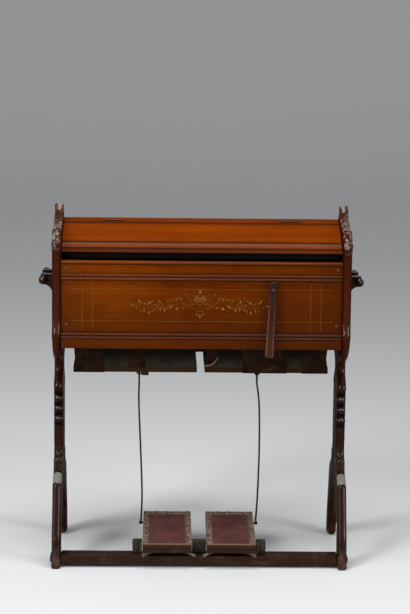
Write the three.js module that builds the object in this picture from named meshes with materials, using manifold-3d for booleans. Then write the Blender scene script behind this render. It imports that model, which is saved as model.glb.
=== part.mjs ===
// A small suction reed organ: two shaped end panels, a shallow case of reeds and keys between them,
// and two foot pedals that pull on a pair of feeder bellows hung under the case.
// Millimetres. X runs to the player's right, Y to the back, Z up from the floor, origin at the centre of the base.
import * as THREE from 'three';
import { mergeVertices } from 'three/addons/utils/BufferGeometryUtils.js';
import Module from 'manifold-3d';

const wasm = await Module();
wasm.setup();

// Driving dimensions of the whole instrument
const outerWidth = 692;
const panelThickness = 21;
const panelDepth = 342;
const panelHeight = 841;
const gap = 0.3;
const overrun = 3;
const runningClearance = 0.4;

const innerHalf = outerWidth / 2 - panelThickness;
const fromFront = (distance) => distance - panelDepth / 2;

// Finishes
const finish = (color, roughness, metalness = 0) => new THREE.MeshStandardMaterial({ color, roughness, metalness });
const panelWood = finish(0x5a2413, 0.3);
const caseWood = finish(0x8a4313, 0.35);
const darkWood = finish(0x3f2618, 0.55);
const plainWood = finish(0xa07a4c, 0.7);
const blackIron = finish(0x15130f, 0.45, 0.8);
const steel = finish(0x9a968e, 0.35, 0.9);
const brassFinish = finish(0xb08a3e, 0.4, 0.9);
const bellowsCloth = finish(0x1b1713, 0.9);
const pedalCarpet = finish(0x6b3733, 0.95);
const ivory = finish(0xe9dfc6, 0.3);
const ebony = finish(0x14110f, 0.35);

// Closed geometry in, solid out, and back again
function solidOf(geometry) {
  const bare = geometry.clone();
  bare.deleteAttribute('normal');
  bare.deleteAttribute('uv');
  const merged = mergeVertices(bare);
  return new wasm.Manifold(new wasm.Mesh({
    numProp: 3,
    vertProperties: Float32Array.from(merged.attributes.position.array),
    triVerts: Uint32Array.from(merged.index.array),
  }));
}

function geometryOf(solid) {
  const { vertProperties, triVerts } = solid.getMesh();
  const geometry = new THREE.BufferGeometry();
  geometry.setAttribute('position', new THREE.BufferAttribute(vertProperties, 3));
  geometry.setIndex(new THREE.BufferAttribute(triVerts, 1));
  geometry.computeVertexNormals();
  return geometry;
}

const joined = (geometries) => geometryOf(geometries.map(solidOf).reduce((whole, next) => whole.add(next)));
const cutFrom = (geometry, cutters) => geometryOf(
  cutters.map(solidOf).reduce((whole, next) => whole.subtract(next), solidOf(geometry)));

// A box between two corners given axis by axis
function block([xLow, xHigh], [yLow, yHigh], [zLow, zHigh]) {
  const box = new THREE.BoxGeometry(xHigh - xLow, yHigh - yLow, zHigh - zLow);
  return box.translate((xLow + xHigh) / 2, (yLow + yHigh) / 2, (zLow + zHigh) / 2);
}

// A side profile, drawn as depth and height, run along X between two ends
function runAlongX(profile, xLow, xHigh) {
  const geometry = new THREE.ExtrudeGeometry(profile, { depth: xHigh - xLow, bevelEnabled: false });
  const turn = new THREE.Matrix4().makeBasis(
    new THREE.Vector3(0, 1, 0), new THREE.Vector3(0, 0, 1), new THREE.Vector3(1, 0, 0));
  return geometry.applyMatrix4(turn).translate(xLow, 0, 0);
}

const profileOf = (points) => new THREE.Shape(points.map(([depth, height]) => new THREE.Vector2(depth, height)));

function barAlongX(radius, xLow, xHigh, y, z, sides = 16) {
  const bar = new THREE.CylinderGeometry(radius, radius, xHigh - xLow, sides).rotateZ(Math.PI / 2);
  return bar.translate((xLow + xHigh) / 2, y, z);
}

function barAlongY(radius, yLow, yHigh, x, z, sides = 16) {
  return new THREE.CylinderGeometry(radius, radius, yHigh - yLow, sides).translate(x, (yLow + yHigh) / 2, z);
}

// Round wire along a smooth path
function wire(path, radius, sides, steps) {
  const section = new THREE.Shape(Array.from({ length: sides }, (_, k) => {
    const turn = (k / sides) * Math.PI * 2;
    return new THREE.Vector2(Math.cos(turn) * radius, Math.sin(turn) * radius);
  }));
  return new THREE.ExtrudeGeometry(section, { steps, extrudePath: path, bevelEnabled: false });
}

const organ = new THREE.Group();
function place(name, geometry, material, parent = organ) {
  const mesh = new THREE.Mesh(geometry, material);
  mesh.name = name;
  parent.add(mesh);
  return mesh;
}
const sides = [['left', -1], ['right', 1]];
const ordered = (a, b) => (a < b ? [a, b] : [b, a]);

// End panels: one sawn board each, the same to front and back, with an arch between the two feet.
// Each run is smooth, and two runs meet in a corner. Shares of the panel's depth and height.
const lowerEdgeShares = [
  [[0, 0], [0.018, 0.069], [0.06, 0.119], [0.106, 0.174], [0.149, 0.226]],
  [[0.2, 0.24], [0.278, 0.256]],
  [[0.289, 0.272], [0.3, 0.286], [0.34, 0.295], [0.354, 0.315], [0.345, 0.345]],
];
const upperEdgeShares = [
  [[0.342, 0.474], [0.318, 0.487], [0.33, 0.502], [0.37, 0.517], [0.405, 0.532], [0.408, 0.547],
    [0.375, 0.56], [0.26, 0.579], [0.187, 0.599], [0.143, 0.616]],
  [[0.129, 0.628], [0.1, 0.64], [0.088, 0.655], [0.102, 0.672]],
  [[0.111, 0.69], [0.111, 0.877]],
  [[0.082, 0.889], [0.052, 0.903], [0.062, 0.916], [0.118, 0.92]],
  [[0.132, 0.932], [0.155, 0.944], [0.222, 0.951], [0.33, 0.956], [0.43, 0.973], [0.5, 1]],
];
const archShares = [
  [[0.1, 0], [0.15, 0.009], [0.171, 0.03], [0.18, 0.07], [0.18, 0.105]],
  [[0.25, 0.115], [0.32, 0.12]],
  [[0.33, 0.14], [0.37, 0.165], [0.43, 0.182], [0.5, 0.188]],
];
// The row of beads hangs below the head of the plain shank, and their centres lie inside the shank's edge.
const bead = { count: 3, radius: 10.5, pitch: 25, belowHead: 15.634, inside: 1.01, steps: 8 };
const [shankDepthShare] = lowerEdgeShares.at(-1).at(-1);
const [, shankHeadShare] = upperEdgeShares[0][0];

const smooth = (run) => (run.length < 3 ? run : new THREE.SplineCurve(
  run.map(([depth, height]) => new THREE.Vector2(depth, height))).getPoints((run.length - 1) * 3).map((p) => [p.x, p.y]));
const sized = (run) => run.map(([depth, height]) => [depth * panelDepth, height * panelHeight]);

function beadPoints() {
  const points = [];
  const depth = shankDepthShare * panelDepth + bead.inside;
  const highest = shankHeadShare * panelHeight - bead.belowHead;
  for (let k = 0; k < bead.count; k += 1) {
    const centre = highest - (bead.count - 1 - k) * bead.pitch;
    for (let step = 0; step <= bead.steps; step += 1) {
      const turn = (step / bead.steps - 0.5) * Math.PI;
      points.push([depth - Math.cos(turn) * bead.radius, centre + Math.sin(turn) * bead.radius]);
    }
  }
  return points;
}

function panelProfile() {
  const front = [
    ...lowerEdgeShares.flatMap((run) => sized(smooth(run))),
    ...beadPoints(),
    ...upperEdgeShares.flatMap((run) => sized(smooth(run))),
  ];
  const back = front.slice(0, -1).reverse().map(([depth, height]) => [panelDepth - depth, height]);
  const archFront = archShares.flatMap((run) => sized(smooth(run)));
  const archBack = archFront.slice(0, -1).map(([depth, height]) => [panelDepth - depth, height]);
  const outline = [...front, ...back, ...archBack, ...archFront.slice().reverse()];
  return profileOf(outline.map(([depth, height]) => [fromFront(depth), height]));
}

// Stretcher: a flat rail between the front feet, tenoned through them
const stretcher = { front: 14, bottom: 7.5, thickness: 22 };
const tenon = { inset: 6, shoulder: 3, proud: 4, cover: 1.6145 };
const stretcherTop = stretcher.bottom + stretcher.thickness;
const tenonZ = [stretcher.bottom + tenon.shoulder, stretcherTop - tenon.shoulder];

// How far back the front foot reaches at a height, along the first run of the arch
function footDepthAt(height) {
  const run = sized(smooth(archShares[0]));
  const above = run.findIndex(([, level]) => level > height);
  const [[depthLow, low], [depthHigh, high]] = [run[above - 1], run[above]];
  return depthLow + ((height - low) / (high - low)) * (depthHigh - depthLow);
}
const tenonY = [fromFront(stretcher.front + tenon.inset), fromFront(footDepthAt(tenonZ[0]) - tenon.cover)];
const stretcherY = [fromFront(stretcher.front), tenonY[1] + tenon.inset];
const grown = ([low, high], by) => [low - by, high + by];

for (const [side, sign] of sides) {
  const [xLow, xHigh] = ordered(sign * innerHalf, sign * outerWidth / 2);
  const board = runAlongX(panelProfile(), xLow, xHigh);
  const mortise = block([xLow - overrun, xHigh + overrun], grown(tenonY, gap), grown(tenonZ, gap));
  place(`end_panel_${side}`, cutFrom(board, [mortise]), panelWood);
}
const shoulderX = innerHalf - gap;
const tenonX = outerWidth / 2 + tenon.proud;
place('stretcher', joined([
  block([-shoulderX, shoulderX], stretcherY, [stretcher.bottom, stretcherTop]),
  block([-tenonX, tenonX], tenonY, tenonZ),
]), darkWood);

// Case: front panel with run mouldings, bottom board, back panel, fixed top
const front = { setback: 44, thickness: 14, bottom: 517, top: 722, fieldSink: 3 };
const moulding = { beadRadius: 3, beadSteps: 4, upper: 685, lower: 547, spread: 8, topBeadRadius: 3.5 };
const frontFace = fromFront(front.setback);
const frontBack = frontFace + front.thickness;

// A half-round bead standing forward of a face, from its lower edge up
function beadRise(face, centre, radius) {
  return Array.from({ length: moulding.beadSteps + 1 }, (_, k) => {
    const turn = (k / moulding.beadSteps - 0.5) * Math.PI;
    return [face - Math.cos(turn) * radius, centre + Math.sin(turn) * radius];
  });
}
const field = frontFace + front.fieldSink;
const halfSpread = moulding.spread / 2;
const frontProfile = profileOf([
  [frontBack, front.bottom], [frontFace, front.bottom],
  ...beadRise(frontFace, moulding.lower - halfSpread, moulding.beadRadius),
  ...beadRise(frontFace, moulding.lower + halfSpread, moulding.beadRadius),
  [field, moulding.lower + halfSpread + moulding.beadRadius],
  [field, moulding.upper - halfSpread - moulding.beadRadius],
  ...beadRise(frontFace, moulding.upper - halfSpread, moulding.beadRadius),
  ...beadRise(frontFace, moulding.upper + halfSpread, moulding.beadRadius),
  ...beadRise(frontFace, front.top - moulding.topBeadRadius, moulding.topBeadRadius),
  [frontBack, front.top],
]);
const caseX = innerHalf - gap;

// Knee lever: its shaft turns in a hole through the front panel
const knee = { x: 165, height: 669, shaftRadius: 4, width: 16, lean: 3, length: 166 };
const kneePlate = { width: 14, height: 24, thickness: 2, screwDrop: 7 };
place('front_panel', cutFrom(runAlongX(frontProfile, -caseX, caseX), [
  barAlongY(knee.shaftRadius + runningClearance, field - overrun, frontBack + overrun, knee.x, knee.height),
]), caseWood);

const bottomBoard = { bottom: 519, thickness: 16 };
const rail = { depth: 15, bottom: 469 };
const back = { inset: 48, thickness: 10 };
const backOuter = fromFront(panelDepth - back.inset);
const backInner = backOuter - back.thickness;
const insideY = [frontBack + gap, backInner - gap];
const feeder = { innerX: 9, outerX: 297, front: 72, boardThickness: 12, wall: 1.6, fold: 7 };
const floorTop = bottomBoard.bottom + bottomBoard.thickness;
place('case_bottom', joined([
  block([-caseX, caseX], insideY, [bottomBoard.bottom, floorTop]),
  block([-feeder.outerX, feeder.outerX], [insideY[1] - rail.depth, insideY[1]], [rail.bottom, floorTop]),
]), plainWood);

// The fixed top is flat behind the lid and then falls gently to the back
const top = { surface: 801, thickness: 18, front: 165, rearSlope: 59, rearFall: 10 };
const topUnderside = top.surface - top.thickness;
const topFront = fromFront(top.front);
const topFlatEnd = backOuter - top.rearSlope;
const topProfile = profileOf([
  [topFront + gap, topUnderside], [topFlatEnd, topUnderside], [backOuter, topUnderside - top.rearFall],
  [backOuter, top.surface - top.rearFall], [topFlatEnd, top.surface], [topFront + gap, top.surface],
]);
place('top_board', runAlongX(topProfile, -caseX, caseX), caseWood);
place('back_panel', block([-caseX, caseX], [backInner, backOuter], [front.bottom, topUnderside - top.rearFall - gap]),
  plainWood);

// Lid: a sloping moulded board, hinged at its upper edge to the fixed top
const lid = { thickness: 16, endClearance: 0.8, lipRound: 5 };
const lidSteps = { slopeFoot: [84, 763], stripFoot: [66, 751], quirk: 2.2, lipTop: [56, 746], lipBottom: [52, 740.5] };
const lidPoint = ([depth, height]) => [fromFront(depth), height];
const [slopeY, slopeZ] = lidPoint(lidSteps.slopeFoot);
const [stripY, stripZ] = lidPoint(lidSteps.stripFoot);
const [lipY, lipZ] = lidPoint(lidSteps.lipTop);
const [noseY, noseZ] = lidPoint(lidSteps.lipBottom);
const lidBack = topFront - gap;
const lidProfile = profileOf([
  [lidBack, top.surface], [lidBack, top.surface - lid.thickness],
  [slopeY + lidSteps.quirk, slopeZ - lid.thickness],
  [stripY + lid.lipRound, noseZ], [noseY, noseZ], [noseY, noseZ + lid.lipRound], [lipY, lipZ],
  [stripY - lidSteps.quirk, stripZ - lidSteps.quirk], [stripY, stripZ - lidSteps.quirk], [stripY, stripZ],
  [slopeY - lidSteps.quirk, slopeZ - lidSteps.quirk], [slopeY, slopeZ - lidSteps.quirk], [slopeY, slopeZ],
]);
place('lid', runAlongX(lidProfile, lid.endClearance - innerHalf, innerHalf - lid.endClearance), caseWood);

const lidHinge = { x: 210, length: 50, barrelRadius: 2, leafThickness: 1, leafWidth: 18 };
const lidHingeZ = top.surface + gap + lidHinge.barrelRadius;
for (const [side, sign] of sides) {
  const [xLow, xHigh] = grown([sign * lidHinge.x, sign * lidHinge.x], lidHinge.length / 2);
  place(`lid_hinge_${side}`, joined([
    barAlongX(lidHinge.barrelRadius, xLow, xHigh, topFront, lidHingeZ, 12),
    block([xLow, xHigh], [topFront, topFront + lidHinge.leafWidth],
      [top.surface + gap, top.surface + gap + lidHinge.leafThickness]),
  ]), steel);
}

// Knee lever, shaft and face plate
const lever = { standOff: 1, hubRadius: 11, hubDepth: 14, footDepth: 30, footForward: 4, tipRound: 6 };
const leverBack = frontFace - moulding.beadRadius - lever.standOff;
const leverTop = lever.hubRadius;
const leverProfile = new THREE.Shape();
leverProfile.moveTo(leverBack, leverTop);
leverProfile.lineTo(leverBack - lever.hubDepth, leverTop);
leverProfile.quadraticCurveTo(
  leverBack - lever.hubDepth, -knee.length / 2, leverBack - lever.footDepth, lever.tipRound - knee.length);
leverProfile.lineTo(leverBack - lever.footDepth + lever.tipRound, -knee.length);
leverProfile.lineTo(leverBack - lever.footForward - lever.tipRound, -knee.length);
leverProfile.lineTo(leverBack - lever.footForward, lever.tipRound - knee.length);
const kneeTurn = new THREE.Group();
kneeTurn.position.set(knee.x, 0, knee.height);
kneeTurn.rotation.y = THREE.MathUtils.degToRad(knee.lean);
organ.add(kneeTurn);
const shaftEnd = { inside: 20, armLength: 24, armWidth: 8 };
const shaftFront = leverBack - lever.hubDepth + lever.tipRound;
const shaftBack = frontBack + shaftEnd.inside;
place('knee_lever', cutFrom(runAlongX(leverProfile, -knee.width / 2, knee.width / 2), [
  barAlongY(knee.shaftRadius + gap, shaftFront - gap, leverBack + overrun, 0, 0),
]), caseWood, kneeTurn);
place('knee_shaft', joined([
  barAlongY(knee.shaftRadius, shaftFront, shaftBack, 0, 0),
  block([-shaftEnd.armWidth / 2, shaftEnd.armWidth / 2], [shaftBack - shaftEnd.armWidth, shaftBack],
    [-shaftEnd.armLength, 0]),
]), steel, kneeTurn);
place('knee_plate', cutFrom(
  block(grown([knee.x, knee.x], kneePlate.width / 2), [field - gap - kneePlate.thickness, field - gap],
    [knee.height + kneePlate.screwDrop - kneePlate.height, knee.height + kneePlate.screwDrop]),
  [barAlongY(knee.shaftRadius + runningClearance, field - front.thickness, field + overrun, knee.x, knee.height)],
), blackIron);

// Lifting handles: turned spindles held off the end panels by a two-armed bracket
const handle = { height: 668, standOff: 24, ballRadius: 10.5, ballBeyondArm: 32, neckRadius: 4.5, bodyRadius: 7,
  collarLength: 3, collarProud: 1, sides: 14 };
const handleArm = { spacing: 72, width: 12, plateThickness: 4, plateRise: 15, rise: 11, drop: 34, beyond: 3 };
const armLip = { drop: 9, cut: 5, brace: 9, braceDrop: 22 };
const ballSpacing = handleArm.spacing + 2 * handle.ballBeyondArm;
const handleX = outerWidth / 2 + handle.standOff;
function spindle() {
  const half = ballSpacing / 2;
  const waist = half - handle.ballRadius;
  const collar = handleArm.spacing / 2 + handleArm.width;
  const points = [];
  for (let k = 0; k <= 6; k += 1) {
    const turn = (k / 6) * Math.PI * 0.85;
    points.push([Math.sin(turn) * handle.ballRadius, half + Math.cos(turn) * handle.ballRadius]);
  }
  const collarRadius = handle.bodyRadius + handle.collarProud;
  points.push([handle.neckRadius, waist], [collarRadius, waist - handle.collarLength],
    [collarRadius, waist - 2 * handle.collarLength], [handle.neckRadius, collar],
    [handle.neckRadius, collar - handleArm.width - handle.collarLength], [handle.bodyRadius, 0]);
  const lower = points.slice(0, -1).map(([radius, along]) => [radius, -along]);
  return new THREE.LatheGeometry([...lower, ...points.reverse()].map(([radius, along]) => (
    new THREE.Vector2(radius, along))), handle.sides);
}
for (const [side, sign] of sides) {
  const x = sign * handleX;
  place(`handle_${side}`, spindle().translate(x, 0, handle.height), panelWood);
  const wall = outerWidth / 2 + gap;
  const plateFace = outerWidth / 2 + handleArm.plateThickness;
  const reach = handleX + handle.neckRadius + handleArm.beyond;
  const armSide = [
    [wall, handleArm.rise], [reach, handleArm.rise], [reach, -armLip.drop], [reach - armLip.cut, -armLip.drop - armLip.cut],
    [plateFace + armLip.brace, -armLip.braceDrop], [plateFace, -handleArm.drop], [wall, -handleArm.drop],
  ].map(([out, rise]) => [-sign * out, handle.height + rise]);
  const arms = [-1, 1].map((end) => runAlongX(profileOf(armSide), ...grown(
    [end * handleArm.spacing / 2, end * handleArm.spacing / 2], handleArm.width / 2)).rotateZ(Math.PI / 2));
  const plate = block(ordered(sign * wall, sign * plateFace), grown([0, 0], handleArm.spacing / 2 + handleArm.width),
    [handle.height - handleArm.drop, handle.height + handleArm.plateRise]);
  place(`handle_bracket_${side}`, cutFrom(joined([plate, ...arms]), [
    barAlongY(handle.neckRadius + 2 * gap, -ballSpacing, ballSpacing, x, handle.height, 14),
  ]), panelWood);
}

// Pedals: two covered boards hinged on one axle, near the heel, above the stretcher
const pedal = { innerX: 18, width: 115, length: 225, heel: 48, thickness: 17, slope: 5.3, coverThickness: 2.5 };
const axle = { y: 50, z: 52, radius: 3 };
const bracket = { width: 22, depth: 20, top: 58.5, sideClearance: 2 };
const axleY = fromFront(axle.y);
const pedalOuter = pedal.innerX + pedal.width;
const bracketX = pedalOuter + bracket.sideClearance;
const bracketZ = [stretcherTop + gap, bracket.top];
const bracketY = grown([axleY, axleY], bracket.depth / 2);
const axleHole = barAlongX(axle.radius + gap, -2 * pedalOuter, 2 * pedalOuter, axleY, axle.z);
const bearings = [
  ['left', [-bracketX - bracket.width, -bracketX]],
  ['centre', grown([0, 0], pedal.innerX - bracket.sideClearance)],
  ['right', [bracketX, bracketX + bracket.width]],
];
for (const [name, spanX] of bearings) {
  place(`pedal_bracket_${name}`, cutFrom(block(spanX, bracketY, bracketZ), [axleHole]), darkWood);
}
place('pedal_axle', barAlongX(axle.radius, -bracketX - bracket.width, bracketX + bracket.width, axleY, axle.z), steel);

// Pull rods: black iron wire bent by hand, hooked into the pedal's edge below and through a screw
// eye above. Each bows a little on its way up.
const rod = { radius: 2.2, pedalX: 139, pedalReach: 128, insertion: 14, loopRadius: 8 };
const rodTopX = { left: 145, right: 136 };
const rodBow = {
  left: [[0.2, 136.8], [0.5, 140.6], [0.8, 145.4]],
  right: [[0.2, 142.6], [0.5, 144.8], [0.8, 142.8]],
};
const eye = { y: 160, z: 441, ringRadius: 6, wireRadius: 1.8 };
const slope = THREE.MathUtils.degToRad(pedal.slope);
const rodFootY = axleY + rod.pedalReach * Math.cos(slope);
const rodFootZ = axle.z + rod.pedalReach * Math.sin(slope);
const eyeY = fromFront(eye.y);
const loopZ = eye.z - eye.ringRadius + eye.wireRadius + rod.radius + gap - rod.loopRadius;
const half = pedal.thickness / 2;
const cover = pedal.coverThickness;
for (const [side, sign] of sides) {
  const turned = new THREE.Group();
  turned.position.set(0, axleY, axle.z);
  turned.rotation.x = slope;
  organ.add(turned);
  const spanX = ordered(sign * pedal.innerX, sign * pedalOuter);
  const toe = pedal.length - pedal.heel;
  const pedalRodHole = [sign * (pedalOuter + overrun), sign * (rod.pedalX - rod.insertion - cover)];
  place(`pedal_board_${side}`, cutFrom(block(spanX, [-pedal.heel, toe], [-half, half]), [
    barAlongX(axle.radius + gap, -2 * pedalOuter, 2 * pedalOuter, 0, 0),
    barAlongX(rod.radius + gap, ...ordered(...pedalRodHole), rod.pedalReach, 0, 12),
  ]), darkWood, turned);
  const pad = profileOf([
    [toe, half + gap], [toe, half + cover], [-pedal.heel - cover, half + cover], [-pedal.heel - cover, 0],
    [-pedal.heel - gap, 0], [-pedal.heel - gap, half + gap],
  ]);
  place(`pedal_cover_${side}`, runAlongX(pad, ...spanX), pedalCarpet, turned);

  const bottomX = sign * rod.pedalX;
  const topX = sign * rodTopX[side];
  const path = new THREE.CatmullRomCurve3([
    [sign * (rod.pedalX - rod.insertion), rodFootY, rodFootZ], [sign * (rod.pedalX - rod.radius * 2), rodFootY, rodFootZ],
    [bottomX, rodFootY, rodFootZ + rod.radius * 2], [bottomX, rodFootY, rodFootZ + rod.insertion * 2],
    ...rodBow[side].map(([share, x]) => [sign * x, rodFootY + (eyeY - rodFootY) * share,
      rodFootZ + (loopZ - rodFootZ) * share]),
    [topX, eyeY, loopZ - rod.loopRadius],
  ].map((point) => new THREE.Vector3(...point)), false, 'centripetal');
  const loop = new THREE.TorusGeometry(rod.loopRadius, rod.radius, 6, 14).rotateY(Math.PI / 2);
  place(`pedal_rod_${side}`, joined([
    wire(path, rod.radius, 6, 40), loop.translate(topX, eyeY, loopZ),
  ]), blackIron);
}

// Feeders: wedge bellows, each a board hinged under the case's rear rail with cloth sides
const boardTop = rail.bottom - gap;
const boardBottom = boardTop - feeder.boardThickness;
const feederY = [fromFront(feeder.front), insideY[1]];
const clothBack = insideY[1] - rail.depth - gap;
const eyeBlock = { width: 17, depth: 22, height: 8, beside: 6 };
const coil = { turns: 4, radius: 14, wireRadius: 1.3, stepsPerTurn: 8, sides: 5 };

function spring(x, y, zLow, zHigh) {
  const turns = coil.turns * coil.stepsPerTurn;
  const path = new THREE.CatmullRomCurve3(Array.from({ length: turns + 1 }, (_, k) => {
    const turn = (k / coil.stepsPerTurn) * Math.PI * 2;
    const rise = zLow + coil.wireRadius + (k / turns) * (zHigh - zLow - 2 * coil.wireRadius);
    return new THREE.Vector3(x + Math.cos(turn) * coil.radius, y + Math.sin(turn) * coil.radius, rise);
  }));
  return wire(path, coil.wireRadius, coil.sides, turns);
}

// A bellows wall: a four-sided ring of cloth folded inward halfway up
function clothRing(spanX, spanY, [zLow, zHigh], wall, fold) {
  const level = (inset, z) => {
    const [xLow, xHigh] = grown(spanX, -inset);
    const [yLow, yHigh] = grown(spanY, -inset);
    return [[xLow, yLow, z], [xHigh, yLow, z], [xHigh, yHigh, z], [xLow, yHigh, z]];
  };
  const middle = (zLow + zHigh) / 2;
  const rings = [level(0, zLow), level(fold, middle), level(0, zHigh),
    level(wall, zHigh), level(fold + wall, middle), level(wall, zLow)];
  const index = [];
  rings.forEach((_, ring) => {
    const next = (ring + 1) % rings.length;
    for (let corner = 0; corner < 4; corner += 1) {
      const [a, b] = [ring * 4 + corner, ring * 4 + ((corner + 1) % 4)];
      const [c, d] = [next * 4 + corner, next * 4 + ((corner + 1) % 4)];
      index.push(a, b, d, a, d, c);
    }
  });
  const geometry = new THREE.BufferGeometry();
  geometry.setAttribute('position', new THREE.Float32BufferAttribute(rings.flat(2), 3));
  geometry.setIndex(index);
  geometry.computeVertexNormals();
  return geometry;
}

for (const [side, sign] of sides) {
  const spanX = ordered(sign * feeder.innerX, sign * feeder.outerX);
  const eyeX = sign * rodTopX[side];
  const blockOuter = rodTopX[side] - eyeBlock.beside;
  place(`feeder_board_${side}`, joined([
    block(spanX, feederY, [boardBottom, boardTop]),
    block(ordered(sign * (blockOuter - eyeBlock.width), sign * blockOuter), grown([eyeY, eyeY], eyeBlock.depth / 2),
      [boardBottom - eyeBlock.height, boardBottom + overrun]),
  ]), plainWood);
  place(`feeder_cloth_${side}`, clothRing(spanX, [feederY[0], clothBack],
    [boardTop + gap, bottomBoard.bottom - gap], feeder.wall, feeder.fold), bellowsCloth);
  place(`feeder_spring_${side}`, spring(eyeX, eyeY, boardTop + gap, bottomBoard.bottom - gap), steel);
  const ring = new THREE.TorusGeometry(eye.ringRadius, eye.wireRadius, 6, 14).rotateX(Math.PI / 2);
  const shank = new THREE.CylinderGeometry(eye.wireRadius, eye.wireRadius, 1, 8).rotateX(Math.PI / 2);
  const shankLow = eye.z + eye.ringRadius;
  const shankHigh = boardBottom - gap;
  shank.scale(1, 1, shankHigh - shankLow).translate(eyeX, eyeY, (shankHigh + shankLow) / 2);
  place(`feeder_eye_${side}`, joined([ring.translate(eyeX, eyeY, eye.z), shank]), blackIron);
}

// Reservoir: a sprung board that air pressure draws down inside the case
const reservoir = { halfWidth: 230, front: 76, behind: 21.7, boardTop: 588, boardThickness: 12, wall: 1.6, fold: 9 };
const reservoirX = [-reservoir.halfWidth, reservoir.halfWidth];
const reservoirY = [fromFront(reservoir.front), insideY[1] - reservoir.behind];
const reservoirBoardBottom = reservoir.boardTop - reservoir.boardThickness;
place('reservoir_board', block(reservoirX, reservoirY, [reservoirBoardBottom, reservoir.boardTop]), plainWood);
place('reservoir_cloth', clothRing(reservoirX, reservoirY, [floorTop + gap, reservoirBoardBottom - gap],
  reservoir.wall, reservoir.fold), bellowsCloth);
place('reservoir_spring', spring(0, (reservoirY[0] + reservoirY[1]) / 2, floorTop + gap, reservoirBoardBottom - gap), steel);

// Keyboard compass, from a C up to an E
const keyPitch = 23.2;
const naturalCount = 24;
const octave = { naturals: 7, first: 7, last: 13 };
const key = { gap: 1, front: 66, headLength: 50, bottom: 690, naturalTop: 713, sharpTop: 724, sharpShort: 3,
  tailClearance: 2 };
const nameBoard = { fromBack: 66, thickness: 8, bottom: 727 };
const nameBoardY = backInner - nameBoard.fromBack;
const sharp = { width: 11, clearance: 0.9, noseSlope: 6, sideSlope: 0.8 };
const sharpShifts = { 0: -2.5, 1: 2.5, 3: -3.5, 4: 0, 5: 3.5 };
const keyboardHalf = (naturalCount * keyPitch) / 2;
const naturalLeft = (index) => -keyboardHalf + index * keyPitch;
const sharpAfter = (index) => (index >= 0 && index < naturalCount - 1 && (index % octave.naturals) in sharpShifts);
const sharpCentre = (index) => naturalLeft(index + 1) + sharpShifts[index % octave.naturals];

// Key frame, name board and the cheeks that close the ends of the keyboard
const keyFrame = { bottom: 652, base: 8, front: 84, frontRail: 678, railSetback: 26, railDepth: 12, rearRailDepth: 21.7 };
const keyFront = fromFront(key.front);
const keyBack = backInner - key.tailClearance;
const railTop = key.bottom - gap;
place('key_frame', joined([
  block([-caseX, caseX], [fromFront(keyFrame.front), insideY[1]], [keyFrame.bottom, keyFrame.bottom + keyFrame.base]),
  block([-keyboardHalf, keyboardHalf], [keyFront + keyFrame.railSetback, keyFront + keyFrame.railSetback + keyFrame.railDepth],
    [keyFrame.bottom, keyFrame.frontRail]),
  block([-keyboardHalf, keyboardHalf], [insideY[1] - keyFrame.rearRailDepth, insideY[1]], [keyFrame.bottom, railTop]),
]), plainWood);
const cheek = { top: 722, clearance: 2 };
place('name_board', block([-caseX, caseX], [nameBoardY, nameBoardY + nameBoard.thickness],
  [nameBoard.bottom, topUnderside - gap]), caseWood);
for (const [side, sign] of sides) {
  place(`cheek_${side}`, block(ordered(sign * (keyboardHalf + cheek.clearance), sign * caseX),
    [frontBack + gap, nameBoardY - cheek.clearance], [keyFrame.bottom + keyFrame.base + gap, cheek.top]), caseWood);
}

// A natural: a full-width head and a tail narrowed where a sharp stands beside it
function natural(index) {
  const left = naturalLeft(index) + key.gap / 2;
  const right = naturalLeft(index + 1) - key.gap / 2;
  const room = sharp.width / 2 + sharp.clearance;
  const tailLeft = sharpAfter(index - 1) ? sharpCentre(index - 1) + room : left;
  const tailRight = sharpAfter(index) ? sharpCentre(index) - room : right;
  const headBack = keyFront + key.headLength;
  return joined([
    block([left, right], [keyFront, headBack], [key.bottom, key.naturalTop]),
    block([tailLeft, tailRight], [headBack - overrun, keyBack], [key.bottom, key.naturalTop]),
  ]);
}

function sharpKey(index) {
  const centre = sharpCentre(index);
  const noseY = keyFront + key.headLength + key.gap;
  const topY = [noseY + sharp.noseSlope, nameBoardY - key.sharpShort];
  const cap = profileOf([
    [noseY, key.naturalTop], [topY[0], key.sharpTop], [topY[1], key.sharpTop], [topY[1], key.naturalTop - overrun],
    [noseY, key.naturalTop - overrun],
  ]);
  return joined([
    block(grown([centre, centre], sharp.width / 2), [noseY, keyBack], [key.bottom, key.naturalTop]),
    runAlongX(cap, ...grown([centre, centre], sharp.width / 2 - sharp.sideSlope)),
  ]);
}

const noteNames = ['c', 'd', 'e', 'f', 'g', 'a', 'b'];
for (let index = octave.first; index <= octave.last; index += 1) {
  const note = noteNames[index % octave.naturals];
  place(`key_${note}`, natural(index), ivory);
  if (sharpAfter(index)) place(`key_${note}_sharp`, sharpKey(index), ebony);
}

// The keys outside the middle octave are two banks, joined under their tails
const bankJoin = { depth: 40, thickness: 4 };
function keyBank(firstIndex, lastIndex) {
  const keys = [];
  for (let index = firstIndex; index <= lastIndex; index += 1) {
    keys.push(natural(index));
    if (sharpAfter(index) && index !== octave.first - 1 && index !== octave.last) keys.push(sharpKey(index));
  }
  const spanX = [naturalLeft(firstIndex) + key.gap / 2, naturalLeft(lastIndex + 1) - key.gap / 2];
  return joined([block(spanX, [keyBack - bankJoin.depth, keyBack], [key.bottom, key.bottom + bankJoin.thickness]), ...keys]);
}
place('keys_bass', keyBank(0, octave.first - 1), ivory);
place('keys_treble', keyBank(octave.last + 1, naturalCount - 1), ivory);

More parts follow.
